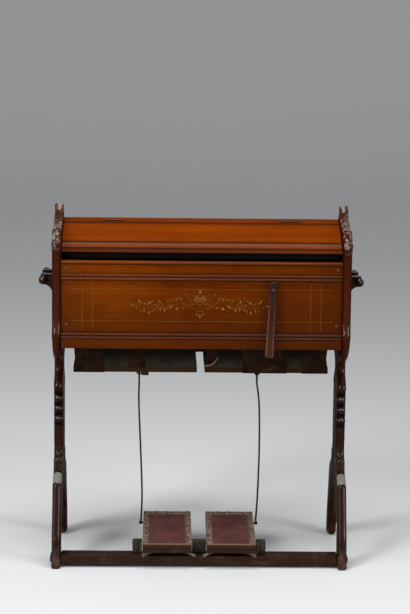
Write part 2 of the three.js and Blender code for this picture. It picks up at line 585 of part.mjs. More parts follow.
// Reed pan with the reeds in cells above it and the pallets that stop the cells below it
const pan = { bottom: 600, thickness: 14 };
const panTop = pan.bottom + pan.thickness;
place('reed_pan', block([-caseX, caseX], insideY, [pan.bottom, panTop]), plainWood);
const reed = { count: 41, pitch: 13.2, width: 9, length: 46, front: 110, height: 10, backBar: 8, tongue: 2 };
const pallet = { width: 10, length: 60, height: 8, hingeBar: 8, hingeThickness: 2 };
const reedRow = Array.from({ length: reed.count }, (_, k) => (k - (reed.count - 1) / 2) * reed.pitch);
const reedHalf = reedRow[reed.count - 1] + reed.width / 2;
const reedY = [fromFront(reed.front), fromFront(reed.front + reed.length)];
place('reed_rank', joined([
  block([-reedHalf, reedHalf], [reedY[1], reedY[1] + reed.backBar], [panTop + gap, panTop + reed.height]),
  ...reedRow.map((x) => block(grown([x, x], reed.width / 2), [reedY[0], reedY[1] + reed.backBar / 2],
    [panTop + gap, panTop + gap + reed.tongue])),
]), brassFinish);
const palletTop = pan.bottom - gap;
place('pallet_rank', joined([
  block([-reedHalf, reedHalf], [reedY[1], reedY[1] + pallet.hingeBar], [palletTop - pallet.hingeThickness, palletTop]),
  ...reedRow.map((x) => block(grown([x, x], pallet.width / 2), [reedY[1] - pallet.length, reedY[1] + pallet.hingeBar / 2],
    [palletTop - pallet.height, palletTop])),
]), plainWood);

// Swell shutter: a flap in front of the reeds that the knee lever lifts
const shutter = { front: 98, thickness: 4, bottom: 616, height: 30, barRadius: 3 };
const shutterY = fromFront(shutter.front);
const shutterZ = shutter.bottom + shutter.height;
place('swell_shutter', joined([
  block([-reedHalf, reedHalf], grown([shutterY, shutterY], shutter.thickness / 2), [shutter.bottom, shutterZ]),
  barAlongX(shutter.barRadius, -caseX, caseX, shutterY, shutterZ, 12),
]), plainWood);

export default organ;
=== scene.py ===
"""A small suction reed organ on shaped end panels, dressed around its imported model. Metres, +Z up."""
import math
import random

import bmesh
import bpy
from mathutils import Matrix, Vector, kdtree, noise


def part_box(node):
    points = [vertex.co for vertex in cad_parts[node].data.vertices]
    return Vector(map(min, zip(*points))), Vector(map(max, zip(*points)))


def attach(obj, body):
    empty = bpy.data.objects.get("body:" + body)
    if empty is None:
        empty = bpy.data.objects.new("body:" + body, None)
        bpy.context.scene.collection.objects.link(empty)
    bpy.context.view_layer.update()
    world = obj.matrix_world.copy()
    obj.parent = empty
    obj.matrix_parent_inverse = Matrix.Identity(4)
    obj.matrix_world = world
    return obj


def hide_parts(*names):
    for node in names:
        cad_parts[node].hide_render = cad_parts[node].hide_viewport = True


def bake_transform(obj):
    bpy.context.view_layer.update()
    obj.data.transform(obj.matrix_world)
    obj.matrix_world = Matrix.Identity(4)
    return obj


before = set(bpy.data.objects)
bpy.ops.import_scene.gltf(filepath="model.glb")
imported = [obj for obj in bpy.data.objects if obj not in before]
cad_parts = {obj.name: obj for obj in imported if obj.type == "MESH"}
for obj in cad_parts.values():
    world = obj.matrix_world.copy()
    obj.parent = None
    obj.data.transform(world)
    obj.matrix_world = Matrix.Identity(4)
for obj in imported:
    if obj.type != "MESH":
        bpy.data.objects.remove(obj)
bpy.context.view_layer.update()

# Camera: the photograph's long lens, a little left of centre and looking slightly down at the
# instrument. Its place was fitted to the panel edges, the feet and the lines of the case.
lens_pixels = 1900
image_height = 614
camera_place = Vector((-0.0861, -4.4618, 1.3227))
camera_pitch, camera_yaw, camera_roll = 0.16142, 0.0216, 0.01157
looking = Vector((math.sin(camera_yaw) * math.cos(camera_pitch),
                  math.cos(camera_yaw) * math.cos(camera_pitch), -math.sin(camera_pitch)))
level_right = Vector((math.cos(camera_yaw), -math.sin(camera_yaw), 0))
level_up = level_right.cross(looking)
right = math.cos(camera_roll) * level_right + math.sin(camera_roll) * level_up
up = right.cross(looking)
camera_data = bpy.data.cameras.new("camera")
camera_data.sensor_fit = "VERTICAL"
camera_data.sensor_height = 36
camera_data.lens = lens_pixels * camera_data.sensor_height / image_height
camera = bpy.data.objects.new("camera", camera_data)
camera.matrix_world = Matrix((right, up, -looking)).transposed().to_4x4()
camera.matrix_world.translation = camera_place
bpy.context.scene.collection.objects.link(camera)
bpy.context.scene.camera = camera
bpy.context.scene.view_settings.view_transform = "Standard"


# Materials are written as sums. A Signal is a socket whose arithmetic adds Math nodes, and a
# Finish is one material, with a single method for every other kind of node.
class Signal:
    def __init__(self, tree, socket):
        self.tree, self.socket = tree, socket

    def sum_with(self, operation, first, second):
        return self.tree.node("Math", {"operation": operation}, {0: first, 1: second})

    def __add__(self, other):
        return self.sum_with("ADD", self, other)

    def __sub__(self, other):
        return self.sum_with("SUBTRACT", self, other)

    def __rsub__(self, other):
        return self.sum_with("SUBTRACT", other, self)

    def __mul__(self, other):
        return self.sum_with("MULTIPLY", self, other)

    def __gt__(self, other):
        return self.sum_with("GREATER_THAN", self, other)

    def __lt__(self, other):
        return self.sum_with("LESS_THAN", self, other)

    def __abs__(self):
        return self.tree.node("Math", {"operation": "ABSOLUTE"}, {0: self})

    __radd__ = __add__
    __rmul__ = __mul__


class Finish:
    def __init__(self, name):
        self.material = bpy.data.materials.new(name)
        self.material.use_nodes = True
        self.tree = self.material.node_tree
        self.shader = self.tree.nodes["Principled BSDF"]

    def node(self, kind, settings, inputs, output=0):
        made = self.tree.nodes.new("ShaderNode" + kind)
        for key, value in settings.items():
            if key == "stops":
                ramp = made.color_ramp.elements
                while len(ramp) < len(value):
                    ramp.new(0.5)
                for element, (place, shade) in zip(ramp, value):
                    element.position = place
                    element.color = (shade, shade, shade, 1)
            else:
                setattr(made, key, value)
        for key, value in inputs.items():
            self.feed(made.inputs[key], value)
        return Signal(self, made.outputs[output])

    def feed(self, socket, value):
        if isinstance(value, Signal):
            self.tree.links.new(value.socket, socket)
        elif isinstance(value, tuple) and len(value) == 3 and socket.type == "RGBA":
            socket.default_value = (*value, 1)
        else:
            socket.default_value = value

    def place(self):
        return self.node("TexCoord", {}, {}, "Object")

    def axes(self, names):
        return [self.node("SeparateXYZ", {}, {"Vector": self.place()}, name) for name in names]

    def stretched(self, scale):
        return self.node("Mapping", {}, {"Vector": self.place(), "Scale": scale})

    def noise(self, scale, detail=4, roughness=0.55, stretch=None):
        place = self.stretched(stretch) if stretch else self.place()
        return self.node("TexNoise", {}, {"Vector": place, "Scale": scale, "Detail": detail,
                                          "Roughness": roughness}, "Fac")

    def ramp(self, value, *stops):
        return self.node("ValToRGB", {"stops": stops}, {"Fac": value})

    def clouds(self, noise, *stops):
        return self.ramp(self.noise(*noise), *stops)

    def mix(self, mask, first, second):
        return self.node("Mix", {"data_type": "RGBA"}, {0: mask, 6: first, 7: second}, 2)

    def glazed(self, colour, *layers):
        for mask, tint in layers:
            colour = self.mix(mask, colour, tint)
        return colour

    def bump(self, height, distance, strength):
        bumped = self.node("Bump", {}, {"Height": height, "Distance": distance, "Strength": strength})
        self.feed(self.shader.inputs["Normal"], bumped)

    def set(self, **values):
        for key, value in values.items():
            self.feed(self.shader.inputs[key.replace("_", " ")], value)
        return self.material


# Studio: a pale floor that curves up behind, large soft lamps in front and above, and a tall narrow one
# to each side that draws a bright line down the varnished arrises.
floor_colour = (0.84, 0.85, 0.86)
floor_half, floor_front, floor_back = 14, -14, 8.2
wall_radius, wall_top, curve_steps = 2.4, 7, 16
floor_profile = [(floor_front, 0)] + [
    (floor_back + math.sin(k / curve_steps * math.pi / 2) * wall_radius,
     (1 - math.cos(k / curve_steps * math.pi / 2)) * wall_radius) for k in range(curve_steps + 1)
] + [(floor_back + wall_radius, wall_top)]
floor_mesh = bpy.data.meshes.new("floor")
floor_mesh.from_pydata(
    [(side * floor_half, y, z) for y, z in floor_profile for side in (-1, 1)], [],
    [(2 * k, 2 * k + 1, 2 * k + 3, 2 * k + 2) for k in range(len(floor_profile) - 1)])
for face in floor_mesh.polygons:
    face.use_smooth = True
floor = bpy.data.objects.new("floor", floor_mesh)
bpy.context.scene.collection.objects.link(floor)
floor_paint = Finish("floor")
floor_mesh.materials.append(floor_paint.set(Base_Color=floor_colour, Roughness=0.75))

world = bpy.data.worlds.new("studio")
bpy.context.scene.world = world
world.use_nodes = True
world.node_tree.nodes["Background"].inputs["Color"].default_value = (0.95, 0.95, 0.95, 1)
world.node_tree.nodes["Background"].inputs["Strength"].default_value = 0.28


def lamp(name, place, aim, size, power):
    data = bpy.data.lights.new(name, "AREA")
    data.shape = "RECTANGLE"
    data.size, data.size_y = size
    data.energy = power
    made = bpy.data.objects.new(name, data)
    made.location = place
    made.rotation_euler = (Vector(aim) - Vector(place)).to_track_quat("-Z", "Y").to_euler()
    bpy.context.scene.collection.objects.link(made)


# Each lamp: its place, what it aims at, its size and its power in watts.
lamp("key_lamp", (-2.4, -3.0, 3.0), (0, 0, 0.5), (1.0, 1.9), 84)
lamp("fill_lamp", (2.6, -2.6, 1.9), (0, 0, 0.5), (0.9, 1.4), 32)
lamp("top_lamp", (0.0, -0.7, 3.2), (0, 0, 0.4), (1.6, 1.1), 44)
both_sides = (("left", -1), ("right", 1))
for side, sign in both_sides:
    lamp(f"edge_lamp_{side}", (sign * 2.8, -1.9, 1.2), (sign * 0.35, 0, 0.5), (0.4, 1.2), 11)


# End panels: two boards about 21 mm thick, sawn to one outline with an arch between the feet, their
# edges rounded over and stained a dark red brown under gloss varnish. The grain stands upright.
mm = 0.001
outer_width, panel_thickness, panel_depth, panel_height = 692 * mm, 21 * mm, 342 * mm, 841 * mm
inner_half = outer_width / 2 - panel_thickness
edge_round = 8.5 * mm
lower_edge_shares = (
    ((0, 0), (0.018, 0.069), (0.06, 0.119), (0.106, 0.174), (0.149, 0.226)),
    ((0.2, 0.24), (0.278, 0.256)),
    ((0.289, 0.272), (0.3, 0.286), (0.34, 0.295), (0.354, 0.315), (0.345, 0.345)),
)
upper_edge_shares = (
    ((0.342, 0.474), (0.318, 0.487), (0.33, 0.502), (0.37, 0.517), (0.405, 0.532), (0.408, 0.547),
     (0.375, 0.56), (0.26, 0.579), (0.187, 0.599), (0.143, 0.616)),
    ((0.129, 0.628), (0.1, 0.64), (0.088, 0.655), (0.102, 0.672)),
    ((0.111, 0.69), (0.111, 0.877)),
    ((0.082, 0.889), (0.052, 0.903), (0.062, 0.916), (0.118, 0.92)),
    ((0.132, 0.932), (0.155, 0.944), (0.222, 0.951), (0.33, 0.956), (0.43, 0.973), (0.5, 1)),
)
arch_shares = (
    ((0.1, 0), (0.15, 0.009), (0.171, 0.03), (0.18, 0.07), (0.18, 0.105)),
    ((0.25, 0.115), (0.32, 0.12)),
    ((0.33, 0.14), (0.37, 0.165), (0.43, 0.182), (0.5, 0.188)),
)
# How far an arris may reach inward: shares of a mitre and of the clear room, and how points are eased apart.
mitre_limit, reach_step, clear_share = 0.62, 0.4 * mm, 0.93
untangling_passes, least_spacing, easing = 16, 0.1, 0.85
ball_count, ball_radius, ball_pitch = 3, 10.5 * mm, 25 * mm
lowest_ball, ball_setback, ball_seat = 333 * mm, 119 * mm, 118 * mm


def from_front(distance):
    return distance - panel_depth / 2


def through(points, steps):
    """A smooth run through given points."""
    run = []
    for k in range((len(points) - 1) * steps + 1):
        span, t = divmod(k / steps, 1)
        a, b, c, d = (Vector(points[min(max(int(span) + j, 0), len(points) - 1)]) for j in (-1, 0, 1, 2))
        square, cube = 2 * a - 5 * b + 4 * c - d, 3 * b - a - 3 * c + d
        run.append(0.5 * (2 * b + (c - a) * t + square * t * t + cube * t ** 3))
    return run


def smoothed(run, steps=6):
    points = run if len(run) < 3 else through(run, steps)
    return [(d * panel_depth, h * panel_height) for d, h in points]


def panel_outline():
    front = [point for run in lower_edge_shares for point in smoothed(run)]
    for k in range(ball_count):
        centre = lowest_ball + k * ball_pitch
        front += [(ball_seat, centre - ball_radius), (ball_seat, centre + ball_radius)]
    front += [point for run in upper_edge_shares for point in smoothed(run)]
    arch = [point for run in arch_shares for point in smoothed(run)]
    mirrored = [(panel_depth - d, h) for d, h in reversed(front[:-1])]
    arch_rear = [(panel_depth - d, h) for d, h in arch[:-1]]
    return [(from_front(d), h) for d, h in front + mirrored + arch_rear + arch[::-1]]


def inward(outline, rounding):
    """For each point of an outline, the way in and how far: less in tight corners, where arrises meet."""
    places, count = [Vector(here) for here in outline], len(outline)
    tree = kdtree.KDTree(count * 4)
    for k, here in enumerate(places):
        for part in range(4):
            tree.insert(here.lerp(places[(k + 1) % count], part / 4).to_3d(), 4 * k + part)
    tree.balance()
    ways, reaches = [], []
    for k, here in enumerate(places):
        normals = [Vector((-v.y, v.x)).normalized()
                   for v in (here - places[k - 1], places[(k + 1) % count] - here)]
        middle = (normals[0] + normals[1]).normalized()
        middle /= max(middle.dot(normals[0]), mitre_limit)
        reach = rounding
        while reach > reach_step:
            if tree.find((here - middle * reach).to_3d())[2] >= clear_share * reach:
                break
            reach -= reach_step
        ways.append(middle)
        reaches.append(reach)
    evened = [min(reaches[k], (reaches[k - 1] + reaches[k] + reaches[(k + 1) % count]) / 3)
              for k in range(count)]
    moves = [way * reach for way, reach in zip(ways, evened)]
    for _ in range(untangling_passes):
        for k in range(count):
            along = places[k] - places[k - 1]
            if (along - moves[k] + moves[k - 1]).dot(along) < least_spacing * along.length_squared:
                moves[k] *= easing
                moves[k - 1] *= easing
    return places, moves


def slab(outline, x_low, x_high, rounding, steps=5):
    """A sawn board: the outline run along X, with both arrises rounded over."""
    if sum(a[0] * b[1] - b[0] * a[1] for a, b in zip(outline, outline[1:] + outline[:1])) > 0:
        outline = outline[::-1]
    places, ways = inward(outline, rounding)
    rings = []
    for k in range(steps + 1):
        turn = k / steps * math.pi / 2
        rings.append((x_low + rounding * (1 - math.cos(turn)), 1 - math.sin(turn)))
    rings += [(x_low + x_high - x, share) for x, share in reversed(rings)]
    return lofted([[(x, *(place - way * share)) for place, way in zip(places, ways)] for x, share in rings])


def lofted(rings, closed=False):
    """A shell through rings of points: capped at both ends, or closed from the last ring to the first."""
    count, vertices = len(rings[0]), [point for ring in rings for point in ring]
    faces = []
    for r in range(len(rings) - (not closed)):
        low, high = r * count, (r + 1) % len(rings) * count
        faces += [(low + k, low + (k + 1) % count, high + (k + 1) % count, high + k) for k in range(count)]
    if not closed:
        faces += [tuple(range(count)), tuple(range(len(vertices) - count, len(vertices)))]
    return vertices, faces


def circle(count):
    return [(math.cos(2 * math.pi * k / count), math.sin(2 * math.pi * k / count)) for k in range(count)]


def ball(centre, radius, rows=12, around=20):
    rings = []
    for row in range(rows + 1):
        out, rise = math.sin(math.pi * row / rows), math.cos(math.pi * row / rows)
        rings.append([Vector(centre) + radius * Vector((out * cos, out * sin, rise))
                      for cos, sin in circle(around)])
    return lofted(rings)


def piece(name, shells, material, body, slot, *nodes, crease=38, arris=0, segments=3, angle=35):
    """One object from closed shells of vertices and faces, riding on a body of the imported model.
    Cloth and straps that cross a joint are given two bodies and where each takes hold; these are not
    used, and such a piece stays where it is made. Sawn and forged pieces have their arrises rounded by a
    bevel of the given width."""
    mesh = bpy.data.meshes.new(name)
    shape = bmesh.new()
    for vertices, faces in shells:
        points = [shape.verts.new(v) for v in vertices]
        for face in faces:
            shape.faces.new([points[k] for k in face])
    bmesh.ops.remove_doubles(shape, verts=shape.verts, dist=1e-6)
    bmesh.ops.recalc_face_normals(shape, faces=shape.faces)
    shape.to_mesh(mesh)
    shape.free()
    mesh.shade_smooth()
    for face in mesh.polygons:
        face.use_smooth = len(face.vertices) < 5
    mesh.set_sharp_from_angle(angle=math.radians(crease))
    mesh.materials.append(material)
    made = bpy.data.objects.new(name, mesh)
    bpy.context.scene.collection.objects.link(made)
    if isinstance(body, tuple):
        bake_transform(made)
    else:
        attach(made, body)
    if nodes:
        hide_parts(*nodes)
    if arris:
        bevel = made.modifiers.new("rounded arrises", "BEVEL")
        bevel.width, bevel.segments = arris, segments
        bevel.limit_method, bevel.angle_limit = "ANGLE", math.radians(angle)
        bevel.harden_normals = True
    return made


def varnished(name, grain_axis, dark, light, coat, wear_and_shade=None, gloss_index=1.5):
    """Stained wood under varnish: growth rings cut along the grain, fine pores and dulled patches."""
    wood = Finish(name)
    across = [9.0, 9.0, 9.0]
    across[grain_axis] = 0.55
    rings = wood.node("TexWave", {"wave_type": "RINGS", "rings_direction": "XYZ"[grain_axis],
                                  "wave_profile": "SIN"},
                      {"Vector": wood.stretched(tuple(across)), "Scale": 1.3, "Distortion": 7.5,
                       "Detail": 4.0, "Detail Scale": 1.3}, "Fac")
    streaks = wood.noise(1, 8, 0.66, tuple(v * 14 for v in across))
    fibres = wood.noise(1, 6, 0.6, tuple(v * 36 for v in across))
    broad = wood.noise(4.5, 3, 0.5)
    pores = wood.noise(1, 3, 0.5, tuple(v * 75 for v in across))
    tone = wood.ramp(rings * 0.05 + streaks * 0.33 + fibres * 0.27 + broad * 0.35, (0.36, 0.0), (0.64, 1.0))
    stain = wood.clouds((5, 3), (0.35, 0.0), (0.75, 0.45))
    colour = wood.glazed(wood.mix(tone, dark, light), (stain, tuple(v * 0.7 for v in dark)),
                         (wood.ramp(pores, (0.3, 0.5), (0.42, 0.0)), tuple(v * 0.35 for v in dark)))
    dull = wood.noise(11, 4)
    gloss = coat - dull * (coat * 0.5)
    # This last step adds wear, and for some woods painted shade and highlights as well.
    if wear_and_shade:
        colour, gloss = wear_and_shade(wood, colour, gloss)
    wood.bump(pores * 0.5 + streaks * 0.5, 0.00025, 0.5)
    return wood.set(Base_Color=colour, Roughness=0.36 + dull * 0.2, Coat_Weight=gloss, Coat_Roughness=0.07,
                    Coat_IOR=gloss_index, Specular_IOR_Level=0.0)


# The sloping ledge of each front shank is painted pale grey: a painted reflection of the light above, on worn
# varnish. Pale flakes on the crest's shoulders are crazed varnish and a painted highlight. The carving around
# the beads is painted near black: painted shade, with dirt.
ledge_line, ledge_slope, ledge_top, ledge_front, ledge_back = 0.2489, 0.53, 0.222, -0.114, -0.0845
crest_foot, crest_shoulder, carving_middle, carving_half, carving_depth = 0.741, 0.783, 0.358, 0.0415, 0.047


def dusted_below(wood, colour, gloss):
    """Varnish keeps its polish on what faces up and is wiped, and is dull with dust below."""
    facing_up = wood.node("SeparateXYZ", {}, {"Vector": wood.node("NewGeometry", {}, {}, "Normal")}, "Z")
    return colour, gloss * wood.ramp(facing_up * 0.5 + 0.5, (0.47, 0.15), (0.51, 0.35), (0.56, 1.0))


def panel_wear_and_shade(wood, colour, gloss):
    across, depth, height = wood.axes("XYZ")
    scratches = wood.noise(1, 6, 0.7, (60, 60, 26))
    low = wood.ramp(height, (0.0, 1.0), (0.12, 0.0))
    from_middle = abs(abs(across) - (outer_width - panel_thickness) / 2)
    on_edge = from_middle < panel_thickness / 2 - 0.4 * mm
    # The rounded arrises and side faces are painted darker: painted shade and a painted dark reflection.
    painted_dark_arris = wood.ramp(from_middle, (0.0045, 0.0), (0.01, 0.6))
    grimy_shank = wood.ramp(height + scratches * 0.05, (0.42, 0.75), (0.56, 0.0))
    worn = wood.ramp(scratches + low * 0.22, (0.66, 0.0), (0.76, 0.55))
    # The carving around the beads is painted near black: painted shade, with dirt.
    carving_shade_and_dirt = (abs(height - carving_middle) < carving_half) * (abs(depth) > carving_depth)
    # Pale flakes on the crest's shoulders: crazed varnish, and a painted highlight.
    flakes_and_highlight = wood.clouds((1, 6, 0.7, (150, 70, 95)), (0.49, 0.0), (0.58, 0.7)) * (height > crest_foot)
    shoulder_highlight = wood.ramp(abs(height - crest_shoulder), (0.02, 1.0), (0.03, 0.35), (0.06, 0.2))
    # The ledge is painted pale grey: a painted reflection of the light above, on worn varnish.
    ledge_sheen_and_wear = (height - depth * ledge_slope > ledge_line) * (height < ledge_top) * on_edge
    ledge_sheen_and_wear *= (depth > ledge_front) * (depth < ledge_back)
    greyed_sheen = wood.ramp(scratches, (0.3, 0.6), (0.55, 0.9))
    colour = wood.glazed(
        colour, (painted_dark_arris, (0.016, 0.0038, 0.0018)), (grimy_shank, (0.017, 0.0075, 0.0045)),
        (low * 0.4, (0.008, 0.0042, 0.0028)), (worn, (0.11, 0.052, 0.029)),
        (carving_shade_and_dirt * 0.85, (0.006, 0.0026, 0.0018)), (flakes_and_highlight * shoulder_highlight * on_edge, (0.36, 0.3, 0.255)),
        (ledge_sheen_and_wear * greyed_sheen, (0.235, 0.225, 0.2)))
    gloss *= wood.ramp(from_middle, (0.0098, 1.0), (0.0104, 0.2)) * (1 - carving_shade_and_dirt * 0.85)
    return dusted_below(wood, colour, gloss - ledge_sheen_and_wear * 0.5)


panel_wood = varnished("panel_wood", 2, (0.024, 0.0048, 0.0014), (0.08, 0.013, 0.0018), 0.75, panel_wear_and_shade)
bead_wood = varnished("bead_wood", 2, (0.007, 0.0026, 0.0016), (0.026, 0.0075, 0.0034), 1.0, dusted_below,
                      1.8)
for side, sign in both_sides:
    inner, outer = sign * inner_half, sign * outer_width / 2
    shells = [slab(panel_outline(), min(inner, outer), max(inner, outer), edge_round)]
    piece(f"carved_end_panel_{side}", shells, panel_wood, "case", "panel_wood", f"end_panel_{side}")
    beads = [ball(((inner + outer) / 2, face * from_front(ball_setback), lowest_ball + k * ball_pitch),
                  ball_radius) for k in range(ball_count) for face in (-1, 1)]
    piece(f"carved_beads_{side}", beads, bead_wood, "case", "panel_wood")

# Stretcher: a plain rail between the front feet, its ends tenoned through them and cut off proud.
# It is the same dark stained wood as the pedals, with the front arris rubbed by shoes.
stretcher_low, stretcher_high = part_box("stretcher")
tenon_proud, tenon_shoulder, tenon_inset, tenon_length = 4 * mm, 3 * mm, 6 * mm, 20 * mm
case_half = inner_half - 0.3 * mm


def run_along_x(profile, x_low, x_high):
    """A moulding: a side profile of depth and height, run between two ends."""
    return lofted([[(x, y, z) for y, z in profile] for x in (x_low, x_high)])


def board(low, high):
    return run_along_x([(low[1], low[2]), (high[1], low[2]), (high[1], high[2]), (low[1], high[2])],
                       low[0], high[0])


def shoe_worn(wood, colour, gloss):
    rubbed = wood.clouds((1, 6, 0.65, (14, 60, 60)), (0.58, 0.0), (0.78, 0.75))
    dust = wood.clouds((38, 5, 0.7), (0.5, 0.0), (0.8, 0.35))
    return wood.glazed(colour, (rubbed, (0.13, 0.065, 0.034)), (dust, (0.1, 0.076, 0.058))), gloss


dark_wood = varnished("dark_wood", 0, (0.014, 0.0057, 0.0032), (0.046, 0.0186, 0.0095), 0.2, shoe_worn)
rail_shells = [board((-case_half, stretcher_low.y, stretcher_low.z),
                     (case_half, stretcher_high.y, stretcher_high.z))]
for sign in (-1, 1):
    ends = sorted((sign * (case_half - tenon_length), sign * (outer_width / 2 + tenon_proud)))
    rail_shells.append(board(
        (ends[0], stretcher_low.y + tenon_inset, stretcher_low.z + tenon_shoulder),
        (ends[1], stretcher_high.y - tenon_inset, stretcher_high.z - tenon_shoulder)))
piece("worn_stretcher", rail_shells, dark_wood, "case", "dark_wood", "stretcher", arris=2.2 * mm)

# Front of the case: one board with reeded mouldings run along it on the moulding bench, an orange
# brown stain and varnish. Its field is sunk 3 mm between the upper and the lower pair of reeds.
front_face, front_back, field_face = from_front(44 * mm), from_front(58 * mm), from_front(47 * mm)
upper_reeds, lower_reeds, reed_spread, reed_radius = 685 * mm, 547 * mm, 4 * mm, 3 * mm
front_bottom, front_top, top_reed_radius = 517 * mm, 722 * mm, 3.5 * mm


def reed_rise(face, centre, radius, steps=10):
    return [(face - math.cos((k / steps - 0.5) * math.pi) * radius,
             centre + math.sin((k / steps - 0.5) * math.pi) * radius) for k in range(steps + 1)]


lower_pair, upper_pair = ((middle - reed_spread, middle + reed_spread)
                          for middle in (lower_reeds, upper_reeds))
cut, front_arris, top_reed = 0.4 * mm, 1.5 * mm, front_top - top_reed_radius
front_profile = [(front_back, front_bottom), (front_face + front_arris, front_bottom),
                 (front_face, front_bottom + front_arris)]
front_profile += [point for centre in lower_pair for point in reed_rise(front_face, centre, reed_radius)]
front_profile += [(field_face, lower_pair[1] + reed_radius + cut),
                  (field_face, upper_pair[0] - reed_radius - cut)]
front_profile += [point for centre in upper_pair for point in reed_rise(front_face, centre, reed_radius)]
front_profile += [(front_face + 1 * mm, top_reed - top_reed_radius - 2 * cut)]
front_profile += reed_rise(front_face, top_reed, top_reed_radius) + [(front_back, front_top)]


# Painted shade darkens the foot of each reed, and the reeds carry more polish.
reed_centres = (*lower_pair, *upper_pair, top_reed)
seam_inside, seam_outside = 7.4 * mm, 7 * mm
reed_seams = (lower_reeds, upper_reeds, lower_reeds + seam_inside, lower_reeds - seam_outside,
              upper_reeds + seam_outside, upper_reeds - seam_inside, front_top - 2 * top_reed_radius)


def front_shade_and_polish(wood, colour, gloss):
    across, height = wood.axes("XZ")
    # Painted shade: darker along the foot of each reed, near both ends beside the end panels, and to the
    # right, partly stain there. The front is also darker towards its foot.
    painted_crease_shade = sum(wood.ramp(abs(height - seam), (0.0, 1.0), (0.0016, 0.0)) for seam in reed_seams)
    ends = wood.ramp(across * across + wood.noise(8, 3) * 0.02, (0.075, 0.0), (0.12, 0.45))
    foot = wood.ramp(height + wood.noise(9, 3) * 0.03, (0.6, 0.62), (0.665, 0.0))
    shaded = wood.ramp(across * 0.8 + 0.4 + wood.noise(6, 3) * 0.1, (0.325, 0.0), (0.43, 0.3), (0.7, 0.62))
    polish_and_sheen = sum(abs(height - centre) < reed_radius for centre in reed_centres)
    colour = wood.glazed(colour, (ends, (0.05, 0.015, 0.0045)), (foot, (0.06, 0.011, 0.0004)),
                         (shaded, (0.05, 0.0085, 0.0004)), (painted_crease_shade * 0.6, (0.016, 0.005, 0.0025)))
    return colour, gloss + polish_and_sheen * 0.3


case_wood = varnished("case_wood", 0, (0.108, 0.017, 0.0003), (0.24, 0.048, 0.0008), 0.08, front_shade_and_polish)
piece("moulded_front", [run_along_x(front_profile, -case_half, case_half)], case_wood, "case", "case_wood",
      "front_panel", crease=50)

# Gilding on the field: thin pinstripes and a stencilled palmette with a leafy scroll to each side, a
# traditional pattern laid in bronze powder under the varnish and rubbed thin in places.
gilt_colour, gilt_bed, gilt_face, half_stripe = (0.3, 0.185, 0.03), 0.02 * mm, 0.12 * mm, 0.4 * mm
leaf_fullness, leaf_stub, brush_half = 1.3, 0.05, 0.32
gilt_centre = Vector((-4 * mm, 620 * mm))
gilt = Finish("rubbed_gilding")
gilt_mask = gilt.ramp(gilt.noise(95, 5, 0.7) * 0.6 + gilt.noise(13, 3) * 0.4, (0.41, 0.08), (0.63, 0.8))
gilt.bump(gilt.noise(900, 3), 0.00008, 0.6)
gilding = gilt.set(Base_Color=gilt.mix(gilt_mask, (0.15, 0.048, 0.008), gilt_colour),
                   Metallic=gilt_mask * 0.25, Roughness=0.52 - gilt_mask * 0.12, Specular_IOR_Level=0.15)


def laid_flat(points):
    """A closed flat outline in x and z, laid on the field with its own thickness."""
    return lofted([[(x, field_face - depth, z) for x, z in points] for depth in (gilt_bed, gilt_face)])


def leaf(x, z, turn, length, width, steps=7):
    outline = []
    for k in range(steps + 1):
        share = k / steps
        outline.append((length * (share - 0.5), width / 2 * math.sin(math.pi * share ** leaf_fullness)
                        + leaf_stub))
    outline += [(along, -half) for along, half in reversed(outline)]
    cos, sin = math.cos(math.radians(turn)), math.sin(math.radians(turn))
    return laid_flat([(gilt_centre.x + (x + a * cos - b * sin) * mm,
                       gilt_centre.y + (z + a * sin + b * cos) * mm) for a, b in outline])


def stem(points, width, taper=0.35):
    """A brush-drawn line through given points, thinning to its end."""
    line, left, right_edge = through(points, 8), [], []
    for k, here in enumerate(line):
        ahead = line[min(k + 1, len(line) - 1)] - line[max(k - 1, 0)]
        half = width * brush_half * (1 - (1 - taper) * k / len(line))
        side = Vector((-ahead.y, ahead.x)).normalized() * half
        left.append(here + side)
        right_edge.append(here - side)
    return laid_flat([(gilt_centre.x + p.x * mm, gilt_centre.y + p.y * mm) for p in left + right_edge[::-1]])


# Positions in the half pattern are millimetres from the palmette's heart, then the turn and size.
side_leaves = ((7.5, 14, 68, 19, 3.4), (12, 11, 48, 14, 3.4), (18, 3, -28, 9, 1.2), (53, -8, -42, 9, 5),
               (67, -3, -38, 13, 4.4), (82, -12, 80, 8, 3.2), (92, -10, 96, 8, 3.2), (93, 7, 58, 9, 4),
               (116, 5, 40, 7, 5), (118, -18, 86, 9, 4.4), (141, 8, 72, 10, 4), (156, -1, 0, 11, 3.6),
               (54, 13, 84, 6, 2), (62, 12, 96, 6, 2), (71, 12, 84, 6, 2), (104, -12, 70, 7, 3),
               (129, -14, 100, 8, 3.4), (128, 3, 30, 6, 3), (7, -21, 30, 8, 2.6), (40, -6, 0, 4.4, 4.4),
               (34, 25, 0, 3.6, 3.6), (45, 16, 20, 6, 2.6), (4, -14, 20, 6, 1.8), (4, 16, 77, 19, 2.2),
               (100, -7, 40, 6, 2.0), (110, -15, 100, 7, 2.2), (122, 2, 60, 6, 1.8), (135, 5, 95, 7, 2.2),
               (137, -14, 70, 6, 2.0), (111, 9, 110, 6, 2.0), (86, 2, 30, 6, 2.0), (147, -6, 50, 6, 2.0),
               (22, 12, 150, 7, 1.6), (28, 17, 100, 5, 1.6), (76, 10, 60, 5, 1.8))
side_stems = (
    (((3, 7), (9, 15), (20, 23), (33, 25.5)), 1.3),
    (((4, 3), (18, 1), (30, -4), (39, -6)), 1.1),
    (((14, -8), (26, -3), (38, 4), (46, 14), (56, 17), (66, 12), (72, 2), (84, -5), (97, -3), (108, 0)), 1.2),
    (((66, -1), (78, -8), (90, -3), (104, 1), (118, -6), (132, -6), (142, 1), (152, -1)), 1.2),
)
